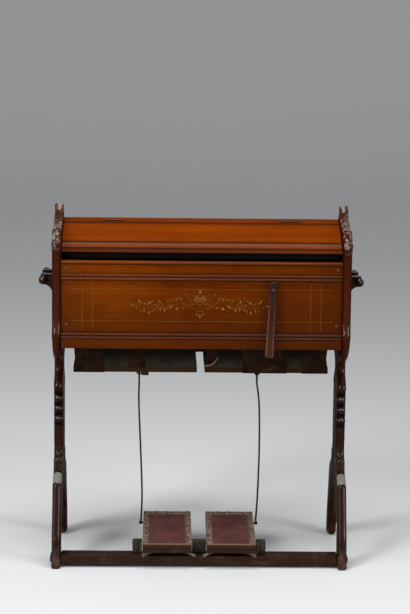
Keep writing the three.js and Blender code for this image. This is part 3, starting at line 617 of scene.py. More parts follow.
shells = [leaf(0, 31, 90, 12, 4.6), leaf(0, -26, 90, 9, 4), leaf(0, -1, 90, 6, 2.2), leaf(0, 13, 90, 15, 2.6)]
for way in (-1, 1):
    for x, z, turn, length, width in side_leaves:
        shells.append(leaf(way * x, z, turn if way > 0 else 180 - turn, length, width))
    for points, width in side_stems:
        shells.append(stem([(way * x, z) for x, z in points], width))
piece("stencilled_scroll", shells, gilding, "case", "case_wood")

stripe_rows, stripe_columns = (657 * mm, 582 * mm), (-276.5 * mm, -252.5 * mm, 252.5 * mm, 276.5 * mm)
stripe_ends, column_ends = 304 * mm, (560 * mm, 673 * mm)
bars = [(-stripe_ends, stripe_ends, z - half_stripe, z + half_stripe) for z in stripe_rows]
bars += [(x - half_stripe, x + half_stripe, *column_ends) for x in stripe_columns]
shells = [laid_flat([(a, low), (b, low), (b, high), (a, high)]) for a, b, low, high in bars]
worn_gilt = Finish("worn_pinstripe")
traces = worn_gilt.ramp(worn_gilt.noise(60, 5, 0.7) * 0.5 + worn_gilt.noise(9, 3) * 0.5, (0.38, 0.05),
                        (0.62, 0.7))
worn_gilding = worn_gilt.set(Base_Color=worn_gilt.mix(traces, (0.15, 0.036, 0.002), (0.235, 0.145, 0.018)),
                             Metallic=traces * 0.3, Roughness=0.5, Specular_IOR_Level=0.1)
piece("gilt_pinstripes", shells, worn_gilding, "case", "case_wood")

# Lid: a sloping board with a run moulding along its front edge and a drip below it. The fixed top
# behind it is the same wood, flush with it, and two small steel butts join them.
slope_foot, strip_foot, lip_top, lip_bottom = (84, 763), (66, 751), (56, 746), (52, 740.5)
top_surface, top_front, top_thickness, lid_thickness = 801 * mm, from_front(165 * mm), 18 * mm, 16 * mm
quirk, lid_half = 2.2 * mm, inner_half - 0.8 * mm
(slope_y, slope_z), (strip_y, strip_z), (lip_y, lip_z), (nose_y, nose_z) = (
    (from_front(depth * mm), height * mm) for depth, height in (slope_foot, strip_foot, lip_top, lip_bottom))
lid_back = top_front - 0.3 * mm


def rounded_between(start, corner, end, steps=6):
    """Points of a rounded arris, from one face around a corner to the next."""
    return [tuple((1 - t) ** 2 * a + 2 * t * (1 - t) * b + t * t * c for a, b, c in zip(start, corner, end))
            for t in (k / steps for k in range(steps + 1))]


# The bead at the top of the slope: millimetres down the slope, and off it.
slope_bead = ((5, 0), (5.5, -0.9), (6.2, -1.2), (6.8, -0.5), (8, 0), (9.2, -0.5), (9.6, -1), (10.4, 0))
slope_angle = math.atan2(top_surface - slope_z, lid_back - slope_y)
down_slope = Vector((-math.cos(slope_angle), -math.sin(slope_angle)))
off_slope = Vector((-math.sin(slope_angle), math.cos(slope_angle)))
slope_top = Vector((lid_back, top_surface))
lid_profile = [(lid_back, top_surface - lid_thickness), tuple(slope_top)]
lid_profile += [tuple(slope_top + (down_slope * a + off_slope * b) * mm) for a, b in slope_bead]
lid_profile += [(slope_y, slope_z), (slope_y - 0.4 * mm, slope_z - quirk * 0.8)]
lid_profile += rounded_between((slope_y - quirk, slope_z - quirk),
                               (slope_y - quirk * 2, slope_z - quirk * 0.6),
                               (slope_y - quirk * 2.6, slope_z - quirk * 1.7))
lid_profile += [(strip_y + 1 * mm, strip_z + 0.6 * mm), (strip_y, strip_z - quirk)]
lid_profile += rounded_between((strip_y - quirk * 0.6, strip_z - quirk), (lip_y, lip_z + 0.6 * mm),
                               (nose_y, nose_z + 6 * mm))
lid_profile += rounded_between((nose_y, nose_z + 4 * mm), (nose_y, nose_z), (nose_y + 5 * mm, nose_z))
lid_profile += [(strip_y + 5 * mm, nose_z), (slope_y + quirk, slope_z - lid_thickness)]


def sunned_and_shaded_lid(wood, colour, gloss):
    across, height = wood.axes("XZ")
    bleached = wood.clouds((3.2, 4, 0.5, (0.8, 2.4, 2.4)), (0.38, 0.0), (0.68, 0.7))
    ruddy = wood.ramp(across + 0.5 + wood.noise(7, 4) * 0.3, (0.33, 0.75), (0.6, 0.0))
    streaked = wood.clouds((1, 5, 0.6, (2.2, 46, 46)), (0.44, 0.0), (0.6, 0.5))
    # A pale line on the bead under the slope is a painted highlight, and dark lines in the quirks are painted
    # shade.
    painted_bead_highlight = wood.ramp(abs(height - (slope_z - 3.6 * mm)), (0.0, 0.55), (0.0014, 0.0))
    quirk_shade_lines = sum(wood.ramp(abs(height - seam), (0.0, 1.0), (half, 0.0)) for seam, half in (
        (slope_z - 1.2 * mm, 0.0022), (strip_z - 1.5 * mm, 0.0018), (top_surface - 3.2 * mm, 0.0022)))
    colour = wood.glazed(
        colour, (bleached, (0.27, 0.05, 0.0016)), (ruddy, (0.185, 0.029, 0.0022)),
        (streaked, (0.13, 0.02, 0.001)), ((height < slope_z) * 0.2, (0.085, 0.0135, 0.001)),
        ((height < strip_z) * 0.45, (0.05, 0.016, 0.006)), (painted_bead_highlight, (0.12, 0.08, 0.06)),
        (quirk_shade_lines * 0.8, (0.02, 0.006, 0.0025)))
    return colour, gloss + (height < strip_z) * 0.2


lid_wood = varnished("lid_wood", 0, (0.12, 0.017, 0.0005), (0.246, 0.0425, 0.001), 0.06, sunned_and_shaded_lid)
piece("sloping_lid", [run_along_x(lid_profile, -lid_half, lid_half)], lid_wood, "lid", "case_wood", "lid",
      crease=42)
top_low, top_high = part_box("top_board")
rear_slope, rear_fall = 59 * mm, 10 * mm
top_profile = [(top_low.y, top_surface - top_thickness),
               (top_high.y - rear_slope, top_surface - top_thickness),
               (top_high.y, top_surface - top_thickness - rear_fall), (top_high.y, top_surface - rear_fall),
               (top_high.y - rear_slope, top_surface), (top_low.y, top_surface)]
piece("fixed_top", [run_along_x(top_profile, -case_half, case_half)], lid_wood, "case", "case_wood",
      "top_board", crease=5, arris=1.2 * mm)

# Metals and screws: black iron, dull and browned steel, and the rusted steel of the screws. Slotted
# heads, domed or nearly flat, hold the front and every plate.
def spotted(name, clouds, first, second, roughness, metallic=None, relief=None, **constants):
    """One surface spotted with another, as rust on iron or dirt on hide: the two colours, and for
    roughness and metal the first surface's value and what the spots add to it."""
    made = Finish(name)
    spots = made.clouds(*clouds)
    if relief:
        made.bump(made.noise(*relief[0]), *relief[1:])
    for key, value in (("Roughness", roughness), ("Metallic", metallic)):
        if value:
            constants[key] = value[0] + spots * value[1] if isinstance(value, tuple) else value
    return made.set(Base_Color=made.mix(spots, first, second), **constants)


iron_material = spotted("black_iron", ((70, 6, 0.7), (0.52, 0.0), (0.72, 0.8)), (0.016, 0.015, 0.014),
                        (0.06, 0.033, 0.02), (0.42, 0.3), (0.75, -0.5), ((600, 4), 0.00012, 0.7))
steel_material = spotted("dull_steel", ((60, 5, 0.65), (0.4, 0.0), (0.75, 0.8)), (0.4, 0.385, 0.36),
                         (0.15, 0.105, 0.075), (0.3, 0.3), (0.95, -0.35),
                         ((1, 3, 0.5, (900, 90, 900)), 0.00006, 0.5))
browned_steel = spotted("browned_steel", ((130, 5, 0.65), (0.4, 0.0), (0.72, 0.9)), (0.11, 0.042, 0.016),
                        (0.06, 0.022, 0.01), (0.42, 0.25), (0.8, -0.5))
screw_material = spotted("screw_metal", ((420, 4, 0.6), (0.45, 0.0), (0.7, 0.9)), (0.15, 0.115, 0.08),
                         (0.05, 0.025, 0.013), (0.34, 0.3), (0.9, -0.5))


def facing(normal):
    return Vector(normal).normalized().to_track_quat("Z", "Y").to_matrix()


# The driver slot's half width and depth, and the height where it starts, in radii of the head.
slot_half, slot_depth, slot_foot = 0.14, 0.22, 0.15


def screw_head(place, normal, radius, turn=0.0, rise=0.55, around=24):
    """A domed head cut by a driver slot: rings of points from the rim up, sunk along the slot."""
    spin = facing(normal) @ Matrix.Rotation(turn, 3, "Z")
    vertices, faces = [spin @ Vector((0, 0, -0.3 * radius)) + Vector(place)], []
    rings = [(1.0, -0.3), (1.0, 0.0)] + [(math.cos(k * math.pi / 12), math.sin(k * math.pi / 12) * rise)
                                         for k in range(1, 6)]
    for share, height in rings:
        for k in range(around):
            angle = 2 * math.pi * k / around
            x, y, z = radius * share * math.cos(angle), radius * share * math.sin(angle), radius * height
            if abs(y) < slot_half * radius and height > slot_foot:
                z -= slot_depth * radius
            vertices.append(spin @ Vector((x, y, z)) + Vector(place))
    vertices.append(spin @ Vector((0, 0, (rise - slot_depth) * radius)) + Vector(place))
    for ring in range(len(rings) - 1):
        for k in range(around):
            low, high = 1 + ring * around, 1 + (ring + 1) * around
            faces.append((low + k, low + (k + 1) % around, high + (k + 1) % around, high + k))
    last, crown = 1 + (len(rings) - 1) * around, len(vertices) - 1
    for k in range(around):
        faces += [(0, 1 + (k + 1) % around, 1 + k), (last + k, last + (k + 1) % around, crown)]
    return vertices, faces


driver_turns = random.Random(11)


def screws(name, places, normal, radius, material, rise=0.55, around=24):
    """Screws of one kind on the case, each left at its own turn of the driver."""
    heads = [screw_head(place, normal, radius, driver_turns.uniform(0, math.pi), rise, around)
             for place in places]
    piece(name, heads, material, "case", "steel")


front_screw_x, front_screw_rows, front_screw_radius = 313.5 * mm, (705 * mm, 573 * mm), 3.1 * mm
screws("front_screws", [(sign * front_screw_x, (front_face if z > upper_reeds else field_face) - 0.4 * mm, z)
                        for z in front_screw_rows for sign in (-1, 1)], (0, -1, 0), front_screw_radius,
       screw_material)

# Lid butts: pressed steel hinges, a rolled barrel in knuckles on a pin and one leaf screwed to the top.
hinge_x, hinge_length, barrel_radius, leaf_width, leaf_thickness = 210 * mm, 50 * mm, 2 * mm, 18 * mm, 1 * mm
knuckles, knuckle_gap, pin_share, pin_proud = 5, 0.35 * mm, 0.55, 0.4 * mm
leaf_screws, leaf_screw_share, leaf_screw_radius = (-17 * mm, 0, 17 * mm), 0.62, 2.6 * mm
hinge_z = top_surface + 0.3 * mm


def tube_along_x(radius, x_low, x_high, y, z, around=16):
    return run_along_x([(y + radius * cos, z + radius * sin) for cos, sin in circle(around)], x_low, x_high)


for side, sign in both_sides:
    centre, span = sign * hinge_x, hinge_length / knuckles
    first = centre - hinge_length / 2
    shells = [tube_along_x(barrel_radius, first + k * span + knuckle_gap / 2,
                           first + (k + 1) * span - knuckle_gap / 2, top_front, hinge_z + barrel_radius)
              for k in range(knuckles)]
    shells.append(tube_along_x(barrel_radius * pin_share, first - pin_proud,
                               first + hinge_length + pin_proud, top_front, hinge_z + barrel_radius))
    shells.append(board((first, top_front + 0.5 * mm, hinge_z),
                        (first + hinge_length, top_front + leaf_width, hinge_z + leaf_thickness)))
    piece(f"lid_butt_{side}", shells, browned_steel, "case", "steel", f"lid_hinge_{side}", arris=0.25 * mm,
          segments=2)
    screws(f"lid_butt_screws_{side}", [(centre + offset, top_front + leaf_width * leaf_screw_share,
                                        hinge_z + leaf_thickness) for offset in leaf_screws], (0, 0, 1),
           leaf_screw_radius, browned_steel, 0.25)

# Knee lever: a sawn paddle of varnished wood on an iron shaft, pushed sideways by the player's knee.
# An iron strap and one screw hold it to the shaft. Its edges are rounded, and painted lighter below:
# a painted highlight, with wear.
knee_x, knee_z, knee_lean, knee_length, lever_width = 165 * mm, 669 * mm, math.radians(3), 166 * mm, 16 * mm
lever_back = front_face - reed_radius - 1 * mm
hub_rise, hub_depth, foot_depth, foot_forward, tip_round = 11 * mm, 14 * mm, 30 * mm, 4 * mm, 6 * mm
top_share, foot_widening = 0.88, 0.27
lean = Matrix.Translation((knee_x, 0, knee_z)) @ Matrix.Rotation(knee_lean, 4, "Y")


def moved(turn, shells):
    return [([turn @ Vector(v) for v in vertices], faces) for vertices, faces in shells]


def corner(before, at, after, reach, steps=5):
    """A rounded corner of an outline, starting and ending at a reach from the corner point."""
    here = Vector(at)
    start = here + (Vector(before) - here).normalized() * reach
    end = here + (Vector(after) - here).normalized() * reach
    return rounded_between(start, here, end, steps)


hub_front, paddle_front = lever_back - hub_depth, lever_back - foot_depth
heel_back = lever_back - foot_forward
top_back, top_lip = (lever_back, hub_rise), (hub_front, hub_rise)
waist_front = (hub_front - 1 * mm, -0.18 * knee_length)
lever_outline = corner((heel_back, -knee_length), top_back, top_lip, 2 * mm)
lever_outline += corner(top_back, top_lip, waist_front, 5 * mm)
lever_outline += rounded_between(waist_front, (hub_front, -knee_length * 0.6),
                                 (paddle_front, tip_round - knee_length), 14)
lever_outline += corner((paddle_front, 0), (paddle_front, -knee_length), (heel_back, -knee_length), tip_round)
lever_outline += corner((paddle_front, -knee_length), (heel_back, -knee_length), (lever_back, 0), tip_round)


def lever_wear_and_highlight(wood, colour, gloss):
    across, height = wood.axes("XZ")
    # Lighter and redder towards the foot: rubbed by the knee, and a painted highlight.
    polish_and_sheen = wood.ramp(height + wood.noise(45, 4) * 0.03, (0.52, 0.6), (0.605, 0.0))
    from_middle = abs(across - height * math.tan(knee_lean) - (knee_x - knee_z * math.tan(knee_lean)))
    widening = -foot_widening / 2 * lever_width / knee_length
    half_width = (height - knee_z) * widening + top_share / 2 * lever_width
    # Lighter along both edges in the lower part: a painted highlight on the rounded arrises, with wear.
    edge_highlight_and_wear = wood.ramp(from_middle - half_width + 0.01 + wood.noise(60, 4) * 0.003, (0.0086, 0.0),
                        (0.0108, 0.8))
    edge_highlight_and_wear *= wood.ramp(height, (0.6, 1.0), (0.665, 0.2))
    grimy_top = wood.ramp(height, (0.62, 0.0), (0.665, 0.65))
    colour = wood.glazed(colour, (polish_and_sheen, (0.072, 0.018, 0.0075)), (edge_highlight_and_wear, (0.155, 0.076, 0.05)),
                         (grimy_top, (0.024, 0.013, 0.011)))
    return colour, gloss


def widened(shell):
    """The paddle widens evenly from its top to its foot."""
    vertices, faces = shell
    return [(x * (top_share - foot_widening * z / knee_length), y, z) for x, y, z in vertices], faces


lever_wood = varnished("lever_wood", 2, (0.018, 0.0062, 0.0045), (0.048, 0.016, 0.01), 0.5, lever_wear_and_highlight)
paddle = widened(slab(lever_outline, -lever_width / 2, lever_width / 2, 3.6 * mm))
piece("knee_paddle", moved(lean, [paddle]), lever_wood, "knee_lever", "case_wood", "knee_lever")
strap_width, strap_thickness, strap_foot, strap_top = 9.5 * mm, 1.4 * mm, -15 * mm, 10 * mm
strap_round = 4 * mm
strap_points = [(-strap_width / 2, strap_foot), (strap_width / 2, strap_foot)]
strap_points += corner((strap_width / 2, 0), (strap_width / 2, strap_top), (-strap_width / 2, strap_top),
                       strap_round)
strap_points += corner((strap_width / 2, strap_top), (-strap_width / 2, strap_top), (-strap_width / 2, 0),
                       strap_round)
strap = lofted([[(x, y, z) for x, z in strap_points]
                for y in (hub_front - strap_thickness, hub_front + 0.5 * mm)])
piece("knee_strap", moved(lean, [strap]), iron_material, "knee_lever", "black_iron", arris=0.4 * mm,
      segments=2)
strap_screw = screw_head((0, hub_front - strap_thickness, -9 * mm), (0, -1, 0), 2.9 * mm, 0.6)
piece("knee_strap_screw", moved(lean, [strap_screw]), screw_material, "knee_lever", "steel")
plate_low, plate_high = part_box("knee_plate")
piece("knee_back_plate", [board(plate_low, plate_high)], iron_material, "case", "black_iron", "knee_plate",
      arris=0.6 * mm, segments=2)

# Lifting handles: two turned spindles with a ball at each end and beads beside it, socketed in a pair
# of arms on a back plate. Both are stained nearly black, and four screws hold each plate.
handle_x, handle_z, handle_ball, half_spacing = 370 * mm, 668 * mm, 10.5 * mm, 68 * mm
ball_arc, ball_steps = math.pi * 0.86, 10
arm_half_spacing, arm_width, arm_rise, arm_drop = 36 * mm, 12 * mm, 11 * mm, 34 * mm
plate_rise, plate_depth = 15 * mm, 4 * mm


def turned_along_y(profile, x, z, around=28):
    """Lathe work: radius and position pairs along Y, closed at both ends on the centre line."""
    return lofted([[(x + radius * cos, y, z + radius * sin) for cos, sin in circle(around)]
                   for radius, y in profile])


handle_wood = varnished("handle_wood", 1, (0.008, 0.003, 0.0019), (0.032, 0.0105, 0.0055), 1.0, dusted_below,
                        1.7)
# One half of the spindle from ball to middle: radius and distance from the middle, in millimetres.
spindle_turnings = ((4.4, 57.8), (5.2, 57.3), (7.4, 56.6), (8, 55.4), (7.4, 54.2), (5.6, 53.6), (5, 53),
                    (6.4, 52.2), (6.8, 51.2), (6.2, 50.2), (4.8, 49.4), (4.5, 48.5), (4.5, 27.5),
                    (5.2, 26.6), (6.6, 25.8), (7, 24.6), (6.6, 23.4), (5.4, 22.6), (5, 21), (5.6, 16),
                    (6.4, 10), (6.9, 5))
half_profile = [(0.02 * mm, half_spacing + handle_ball)]
half_profile += [(handle_ball * math.sin(turn), half_spacing + handle_ball * math.cos(turn))
                 for turn in (k / ball_steps * ball_arc for k in range(1, ball_steps + 1))]
half_profile += [(radius * mm, along * mm) for radius, along in spindle_turnings]
rear_profile = [(radius, -along) for radius, along in reversed(half_profile)]
spindle_profile = half_profile + [(7 * mm, 0)] + rear_profile
for side, sign in both_sides:
    piece(f"turned_handle_{side}", [turned_along_y(spindle_profile, sign * handle_x, handle_z)], handle_wood,
          "case", "panel_wood", f"handle_{side}", crease=50)
    wall, plate_face = outer_width / 2 + 0.3 * mm, outer_width / 2 + plate_depth
    reach, plate_half = handle_x + 7.5 * mm, arm_half_spacing + arm_width
    ends = sorted((sign * wall, sign * plate_face))
    shells = [board((ends[0], -plate_half, handle_z - arm_drop),
                    (ends[1], plate_half, handle_z + plate_rise))]
    hollow = ((reach - 5 * mm, -14 * mm), (plate_face + 5 * mm, -15 * mm), (plate_face, -arm_drop))
    sawn = [(wall, arm_rise), (reach, arm_rise), (reach, -9 * mm), *rounded_between(*hollow, 8),
            (wall, -arm_drop)]
    for end in (-1, 1):
        middle = end * arm_half_spacing
        vertices, faces = run_along_x(sawn, middle - arm_width / 2, middle + arm_width / 2)
        shells.append(([(sign * out, y, handle_z + z) for y, out, z in vertices], faces))
    plate_face *= sign
    piece(f"handle_arms_{side}", shells, handle_wood, "case", "panel_wood", f"handle_bracket_{side}",
          arris=2.4 * mm)
    screws(f"handle_screws_{side}", [(plate_face, y * mm, handle_z + z * mm) for y in (-20, 20)
                                     for z in (-18, 8)], (sign, 0, 0), 2.8 * mm, screw_material, 0.3)

# Feeders: two wedge bellows under the case. Each is a board hinged at the rear, with walls of black
# rubber cloth folded inward at half height and glued along both edges, dusty where they meet the board.
# The cloth is painted near black above as shade under the case.
feeder_inner, feeder_outer = 9 * mm, 297 * mm
feeder_front, cloth_back, board_back = -99 * mm, 97.4 * mm, 112.7 * mm
board_top, board_bottom, ceiling = 468.7 * mm, 456.7 * mm, 518.7 * mm
wall_fold, wall_pull, cloth_thickness, wall_corner, fold_power = 4.6 * mm, 1.7 * mm, 1.3 * mm, 4 * mm, 1.25
wall_foot = board_top + 0.1 * mm
feeder_half = (feeder_outer - feeder_inner) / 2
feeder_hinge = 469 * mm


def rim(s, half, front, back, corner_radius):
    """The point and the outward normal at a distance s around a board, from the middle of its front."""
    side = 1 if s >= 0 else -1
    straight, depth, t = half - corner_radius, back - front - 2 * corner_radius, abs(s)
    bend = corner_radius * math.pi / 2
    if t < straight:
        return (side * t, front), (0, -1)
    t -= straight
    if t < bend:
        sin, cos = math.sin(t / corner_radius), math.cos(t / corner_radius)
        place = (side * (straight + corner_radius * sin), front + corner_radius * (1 - cos))
        return place, (side * sin, -cos)
    t -= bend
    if t < depth:
        return (side * half, front + corner_radius + t), (side, 0)
    t -= depth
    if t < bend:
        sin, cos = math.sin(t / corner_radius), math.cos(t / corner_radius)
        place = (side * (straight + corner_radius * cos), back - corner_radius * (1 - sin))
        return place, (side * cos, sin)
    return (side * (straight - t + bend), back), (0, 1)


def skin(outer, inner, closed):
    """A sheet with two faces: grids of rows, stitched along their rims, and round if closed."""
    rows, columns = len(outer), len(outer[0])
    vertices = [p for grid in (outer, inner) for row in grid for p in row]
    turns = columns if closed else columns - 1
    back = rows * columns
    faces = []
    for r in range(rows - 1):
        for c in range(turns):
            a, b = r * columns + c, r * columns + (c + 1) % columns
            faces += [(a, b, b + columns, a + columns),
                      (back + a, back + a + columns, back + b + columns, back + b)]
    for c in range(turns):
        a, b = c, (c + 1) % columns
        top_a, top_b = (rows - 1) * columns + a, (rows - 1) * columns + b
        faces += [(a, back + a, back + b, b), (top_a, top_b, back + top_b, back + top_a)]
    if not closed:
        for r in range(rows - 1):
            for c in (0, columns - 1):
                a = r * columns + c
                faces.append((a, a + columns, back + a + columns, back + a))
    return vertices, faces


def feeder_wall(centre, seed, s, t, out):
    """A point on or over a wall: t is 0 at the board and 1 at the case, and below 0 around the board."""
    (x, y), (nx, ny) = rim(s, feeder_half, feeder_front, cloth_back, wall_corner)
    if t < -1:
        sunk, z = (-1 - t) * (board_top - board_bottom) - out, board_bottom - out
    elif t < 0:
        sunk, z = -out, board_top + t * (board_top - board_bottom)
    else:
        crease = 1 - abs(2 * t - 1) ** fold_power
        pull = noise.noise(Vector((s * 32 + seed, t * 2.6, seed)))
        pull += 0.5 * noise.noise(Vector((s * 95, t * 5, seed)))
        sunk = wall_fold * crease + wall_pull * pull * math.sin(math.pi * min(t, 1)) ** 0.7 - out
        z = wall_foot + t * (ceiling - wall_foot)
    return (centre + x - nx * sunk, y - ny * sunk, z)


def spread(low, high, step):
    count = max(2, round((high - low) / step))
    return [low + (high - low) * k / count for k in range(count + 1)]


cloth_finish = Finish("rubber_cloth")
height, = cloth_finish.axes("Z")
# Paler with dust near the board, and painted near black above it as shade under the case.
dust_and_shade = cloth_finish.ramp(height + cloth_finish.noise(26, 5, 0.65) * 0.022, (0.479, 1.0), (0.508, 0.0))
weave = cloth_finish.node("TexWave", {"wave_type": "BANDS", "bands_direction": "Z"},
                          {"Vector": cloth_finish.place(), "Scale": 420.0, "Distortion": 0.6}, "Fac")
cloth_finish.bump(weave * 0.4 + cloth_finish.noise(160, 5) * 0.6, 0.0005, 0.6)
bellows_cloth = cloth_finish.set(
    Base_Color=cloth_finish.mix(dust_and_shade * cloth_finish.clouds((60, 5), (0.25, 0.35), (0.7, 1.0)),
                                (0.005, 0.0044, 0.0036), (0.034, 0.0275, 0.019)),
    Roughness=0.62 + dust_and_shade * 0.3, Specular_IOR_Level=0.04)
leather = Finish("glued_leather")
mottled = leather.clouds((34, 6, 0.65), (0.35, 0.0), (0.68, 1.0))
scraped = leather.clouds((24, 6, 0.75), (0.56, 0.0), (0.7, 0.7))
leather.bump(leather.noise(330, 5, 0.6), 0.0005, 0.7)
leather_colour = leather.glazed((0.005, 0.0021, 0.0011), (mottled, (0.02, 0.008, 0.0036)),
                                (scraped, (0.07, 0.025, 0.0095)))
patch_leather = leather.set(Base_Color=leather_colour, Roughness=0.7 - mottled * 0.12,
                            Specular_IOR_Level=0.04)
bare_hide = spotted("bare_hide", ((70, 5, 0.65), (0.4, 0.0), (0.75, 1.0)), (0.17, 0.12, 0.07),
                    (0.065, 0.042, 0.023), 0.85, None, ((700, 4, 0.6), 0.0004, 0.7), Specular_IOR_Level=0.2)
feeder_wood = varnished("feeder_wood", 0, (0.012, 0.0056, 0.003), (0.042, 0.021, 0.0105), 0.02)

eye_x, eye_y, eye_z = {"left": 145 * mm, "right": 136 * mm}, -11 * mm, 441 * mm
eye_radius, eye_wire = 6 * mm, 1.8 * mm
block_gap, block_width, block_depth, block_height = 6 * mm, 17 * mm, 22 * mm, 8 * mm
# Each patch: its run around the wall from the middle of the front, and its lower and upper share.
patches = {
    "left": ((-178, -72, -1.5, 0.97), (-17, 23, -0.12, 1.0)),
    "right": ((-176, -116, 0.12, 1.0), (-55, 48, -1.5, 0.98), (83, 190, -1.5, 0.97)),
}


def wire(path, radius, around=10, closed=False):
    """Round wire along a path, its rings kept from twisting."""
    path = [Vector(p) for p in path]
    count = len(path)
    frames, normal = [], None
    for k in range(count):
        after, before = ((k + 1) % count, k - 1) if closed else (min(k + 1, count - 1), max(k - 1, 0))
        ahead = (path[after] - path[before]).normalized()
        if normal is None:
            normal = ahead.orthogonal().normalized()
        normal = (normal - ahead * normal.dot(ahead)).normalized()
        frames.append((normal.copy(), ahead.cross(normal)))
    return lofted([[here + radius * (cos * a + sin * b) for cos, sin in circle(around)]
                   for here, (a, b) in zip(path, frames)], closed)


coil_radius, coil_wire, coil_steps, coil_sides = 14 * mm, 1.3 * mm, 24, 8


def coil(x, y, low, high, turns):
    """A coil spring standing between two heights."""
    path = []
    for k in range(coil_steps * turns + 1):
        angle, share = k / coil_steps * 2 * math.pi, k / (coil_steps * turns)
        path.append((x + coil_radius * math.cos(angle), y + coil_radius * math.sin(angle),
                     low + coil_wire + share * (high - low - 2 * coil_wire)))
    return wire(path, coil_wire, coil_sides)


# Leather patches lie from the cloth out to the first lift, in millimetres. The torn one is placed round
# the board, and its foot rises along the tear in shares of the cloth's height.
patch_lifts, patch_step, patch_fray = (0.95, 0.1), 4 * mm, 0.05
tear_start, tear_end, tear_step = -150 * mm, -113 * mm, 1.5 * mm
tear_foot, tear_rise, curl_step, curl_steps = 0.04, 0.42, 0.022, 4
curl_seat, curl_lift, hide_lifts = 1.1, 1.6, (0.5, 0)
eye_gap, eye_steps, collar_share, collar_height = math.radians(24), 28, 2.1, 1.3 * mm
for side, sign in both_sides:
    centre, seed = sign * (feeder_inner + feeder_outer) / 2, 3.7 if sign < 0 else 9.2
    low_x, high_x = sorted((sign * feeder_inner, sign * feeder_outer))
    eye_line = sign * eye_x[side]
    blocks = sorted((eye_line - sign * block_gap, eye_line - sign * (block_gap + block_width)))
    block_front = feeder_front + 2 * mm if side == "left" else eye_y - block_depth / 2
    shells = [board((low_x, feeder_front, board_bottom), (high_x, board_back, board_top)),
              board((blocks[0], block_front, board_bottom - block_height),
                    (blocks[1], eye_y + block_depth / 2, board_bottom + 0.5 * mm))]
    piece(f"feeder_leaf_{side}", shells, feeder_wood, f"feeder_{side}", "plain_wood", f"feeder_board_{side}",
          arris=1.1 * mm)

    half_round = 2 * feeder_half + cloth_back - feeder_front - 4 * wall_corner + wall_corner * math.pi
    stations = spread(-half_round, half_round, 5 * mm)[:-1]
    shares = [k / 12 for k in range(13)]
    outer = [[feeder_wall(centre, seed, s, t, 0) for s in stations] for t in shares]
    inner = [[feeder_wall(centre, seed, s, t, -cloth_thickness) for s in stations] for t in shares]
    hung = ("case", f"feeder_{side}", (centre, 0, ceiling), (centre, 0, feeder_hinge))
    walls = piece(f"feeder_walls_{side}", [skin(outer, inner, True)], bellows_cloth, hung, "bellows_cloth",
                  f"feeder_cloth_{side}", crease=70)

    for number, (s_low, s_high, t_low, t_high) in enumerate(patches[side]):
        along = spread(s_low * mm, s_high * mm, patch_step)
        levels = spread(t_low, t_high, 0.07)
        ragged = lambda s, t: t + patch_fray * noise.noise(Vector((s * 60, number, seed)))
        sheets = [[[feeder_wall(centre, seed, s, ragged(s, t), out * mm) for s in along] for t in levels]
                  for out in patch_lifts]
        piece(f"leather_patch_{side}_{number + 1}", [skin(*sheets, False)], patch_leather, hung,
                           "bellows_cloth", crease=60)
    if side == "right":
        # The inner corner patch has torn along its foot, and its pale flesh side curls out.
        along = spread(tear_start, tear_end, tear_step)
        feet = [tear_foot + tear_rise * ((s - tear_start) / (tear_end - tear_start)) ** 4 for s in along]
        bows = [curl_seat + curl_lift * math.sin(k * math.pi / curl_steps) for k in range(curl_steps + 1)]
        curl = [[[feeder_wall(centre, seed, s, t + k * curl_step, (bow + out) * mm)
                  for s, t in zip(along, feet)] for k, bow in enumerate(bows)] for out in hide_lifts]
        piece("torn_patch_edge", [skin(*curl, False)], bare_hide, hung, "bellows_cloth",
                           crease=60)
    2 * half_round

    piece(f"feeder_coil_{side}", [coil(eye_line, eye_y, wall_foot, ceiling - 0.1 * mm, 4)], steel_material,
          hung, "steel", f"feeder_spring_{side}", crease=60)

    ring = [(eye_line + eye_radius * math.sin(a), eye_y, eye_z + eye_radius * math.cos(a))
            for a in (eye_gap / 2 + k * (2 * math.pi - eye_gap) / eye_steps for k in range(eye_steps + 1))]
    shank = [(eye_line, eye_y, eye_z + eye_radius * 1.02), (eye_line, eye_y, board_bottom - 0.05 * mm)]
    shells = [wire(ring, eye_wire, 10), wire(shank, eye_wire, 12),
              wire([(eye_line, eye_y, board_bottom - collar_height),
                    (eye_line, eye_y, board_bottom - 0.05 * mm)], eye_wire * collar_share, 16)]
    piece(f"screw_eye_{side}", shells, iron_material, f"feeder_{side}", "black_iron", f"feeder_eye_{side}",
          crease=50)

# Pedals: two boards hinged near the heel on one steel axle, covered in maroon carpet. The carpet's rough
# tan selvedge is tacked down along three sides, and its front edge is rolled over the board's nose.
axle_y, axle_z, axle_radius, pedal_slope = -121 * mm, 52 * mm, 3 * mm, math.radians(5.3)
pedal_inner, pedal_outer, pedal_toe, pedal_heel, pedal_half = 18 * mm, 133 * mm, 177 * mm, -48 * mm, 8.5 * mm
nose_round, nose_drop, carpet_lift = 3 * mm, 3.8 * mm, 0.15 * mm
carpet_low, carpet_high, tack_inset, tack_radius = 0.9 * mm, 2.4 * mm, 6.5 * mm, 2.1 * mm
# Around a tack the pile rises in a ring and sinks in the middle: heights and distances in millimetres.
pucker_reach, pucker_rise, pucker_ring, pucker_width, tack_sink, sink_width = 14, 0.75, 6, 2.4, 1.15, 2.9
tread = Matrix.Translation((0, axle_y, axle_z)) @ Matrix.Rotation(pedal_slope, 4, "X")


def strip(path, across, width, thickness):
    """A flat strap along a path, its width laid one way."""
    path, across = [Vector(p) for p in path], Vector(across).normalized()
    rings = []
    for k, here in enumerate(path):
        normal = (path[min(k + 1, len(path) - 1)] - path[max(k - 1, 0)]).cross(across).normalized()
        rings.append([here + across * a * width / 2 + normal * b * thickness / 2
                      for a, b in ((-1, -1), (1, -1), (1, 1), (-1, 1))])
    return lofted(rings)


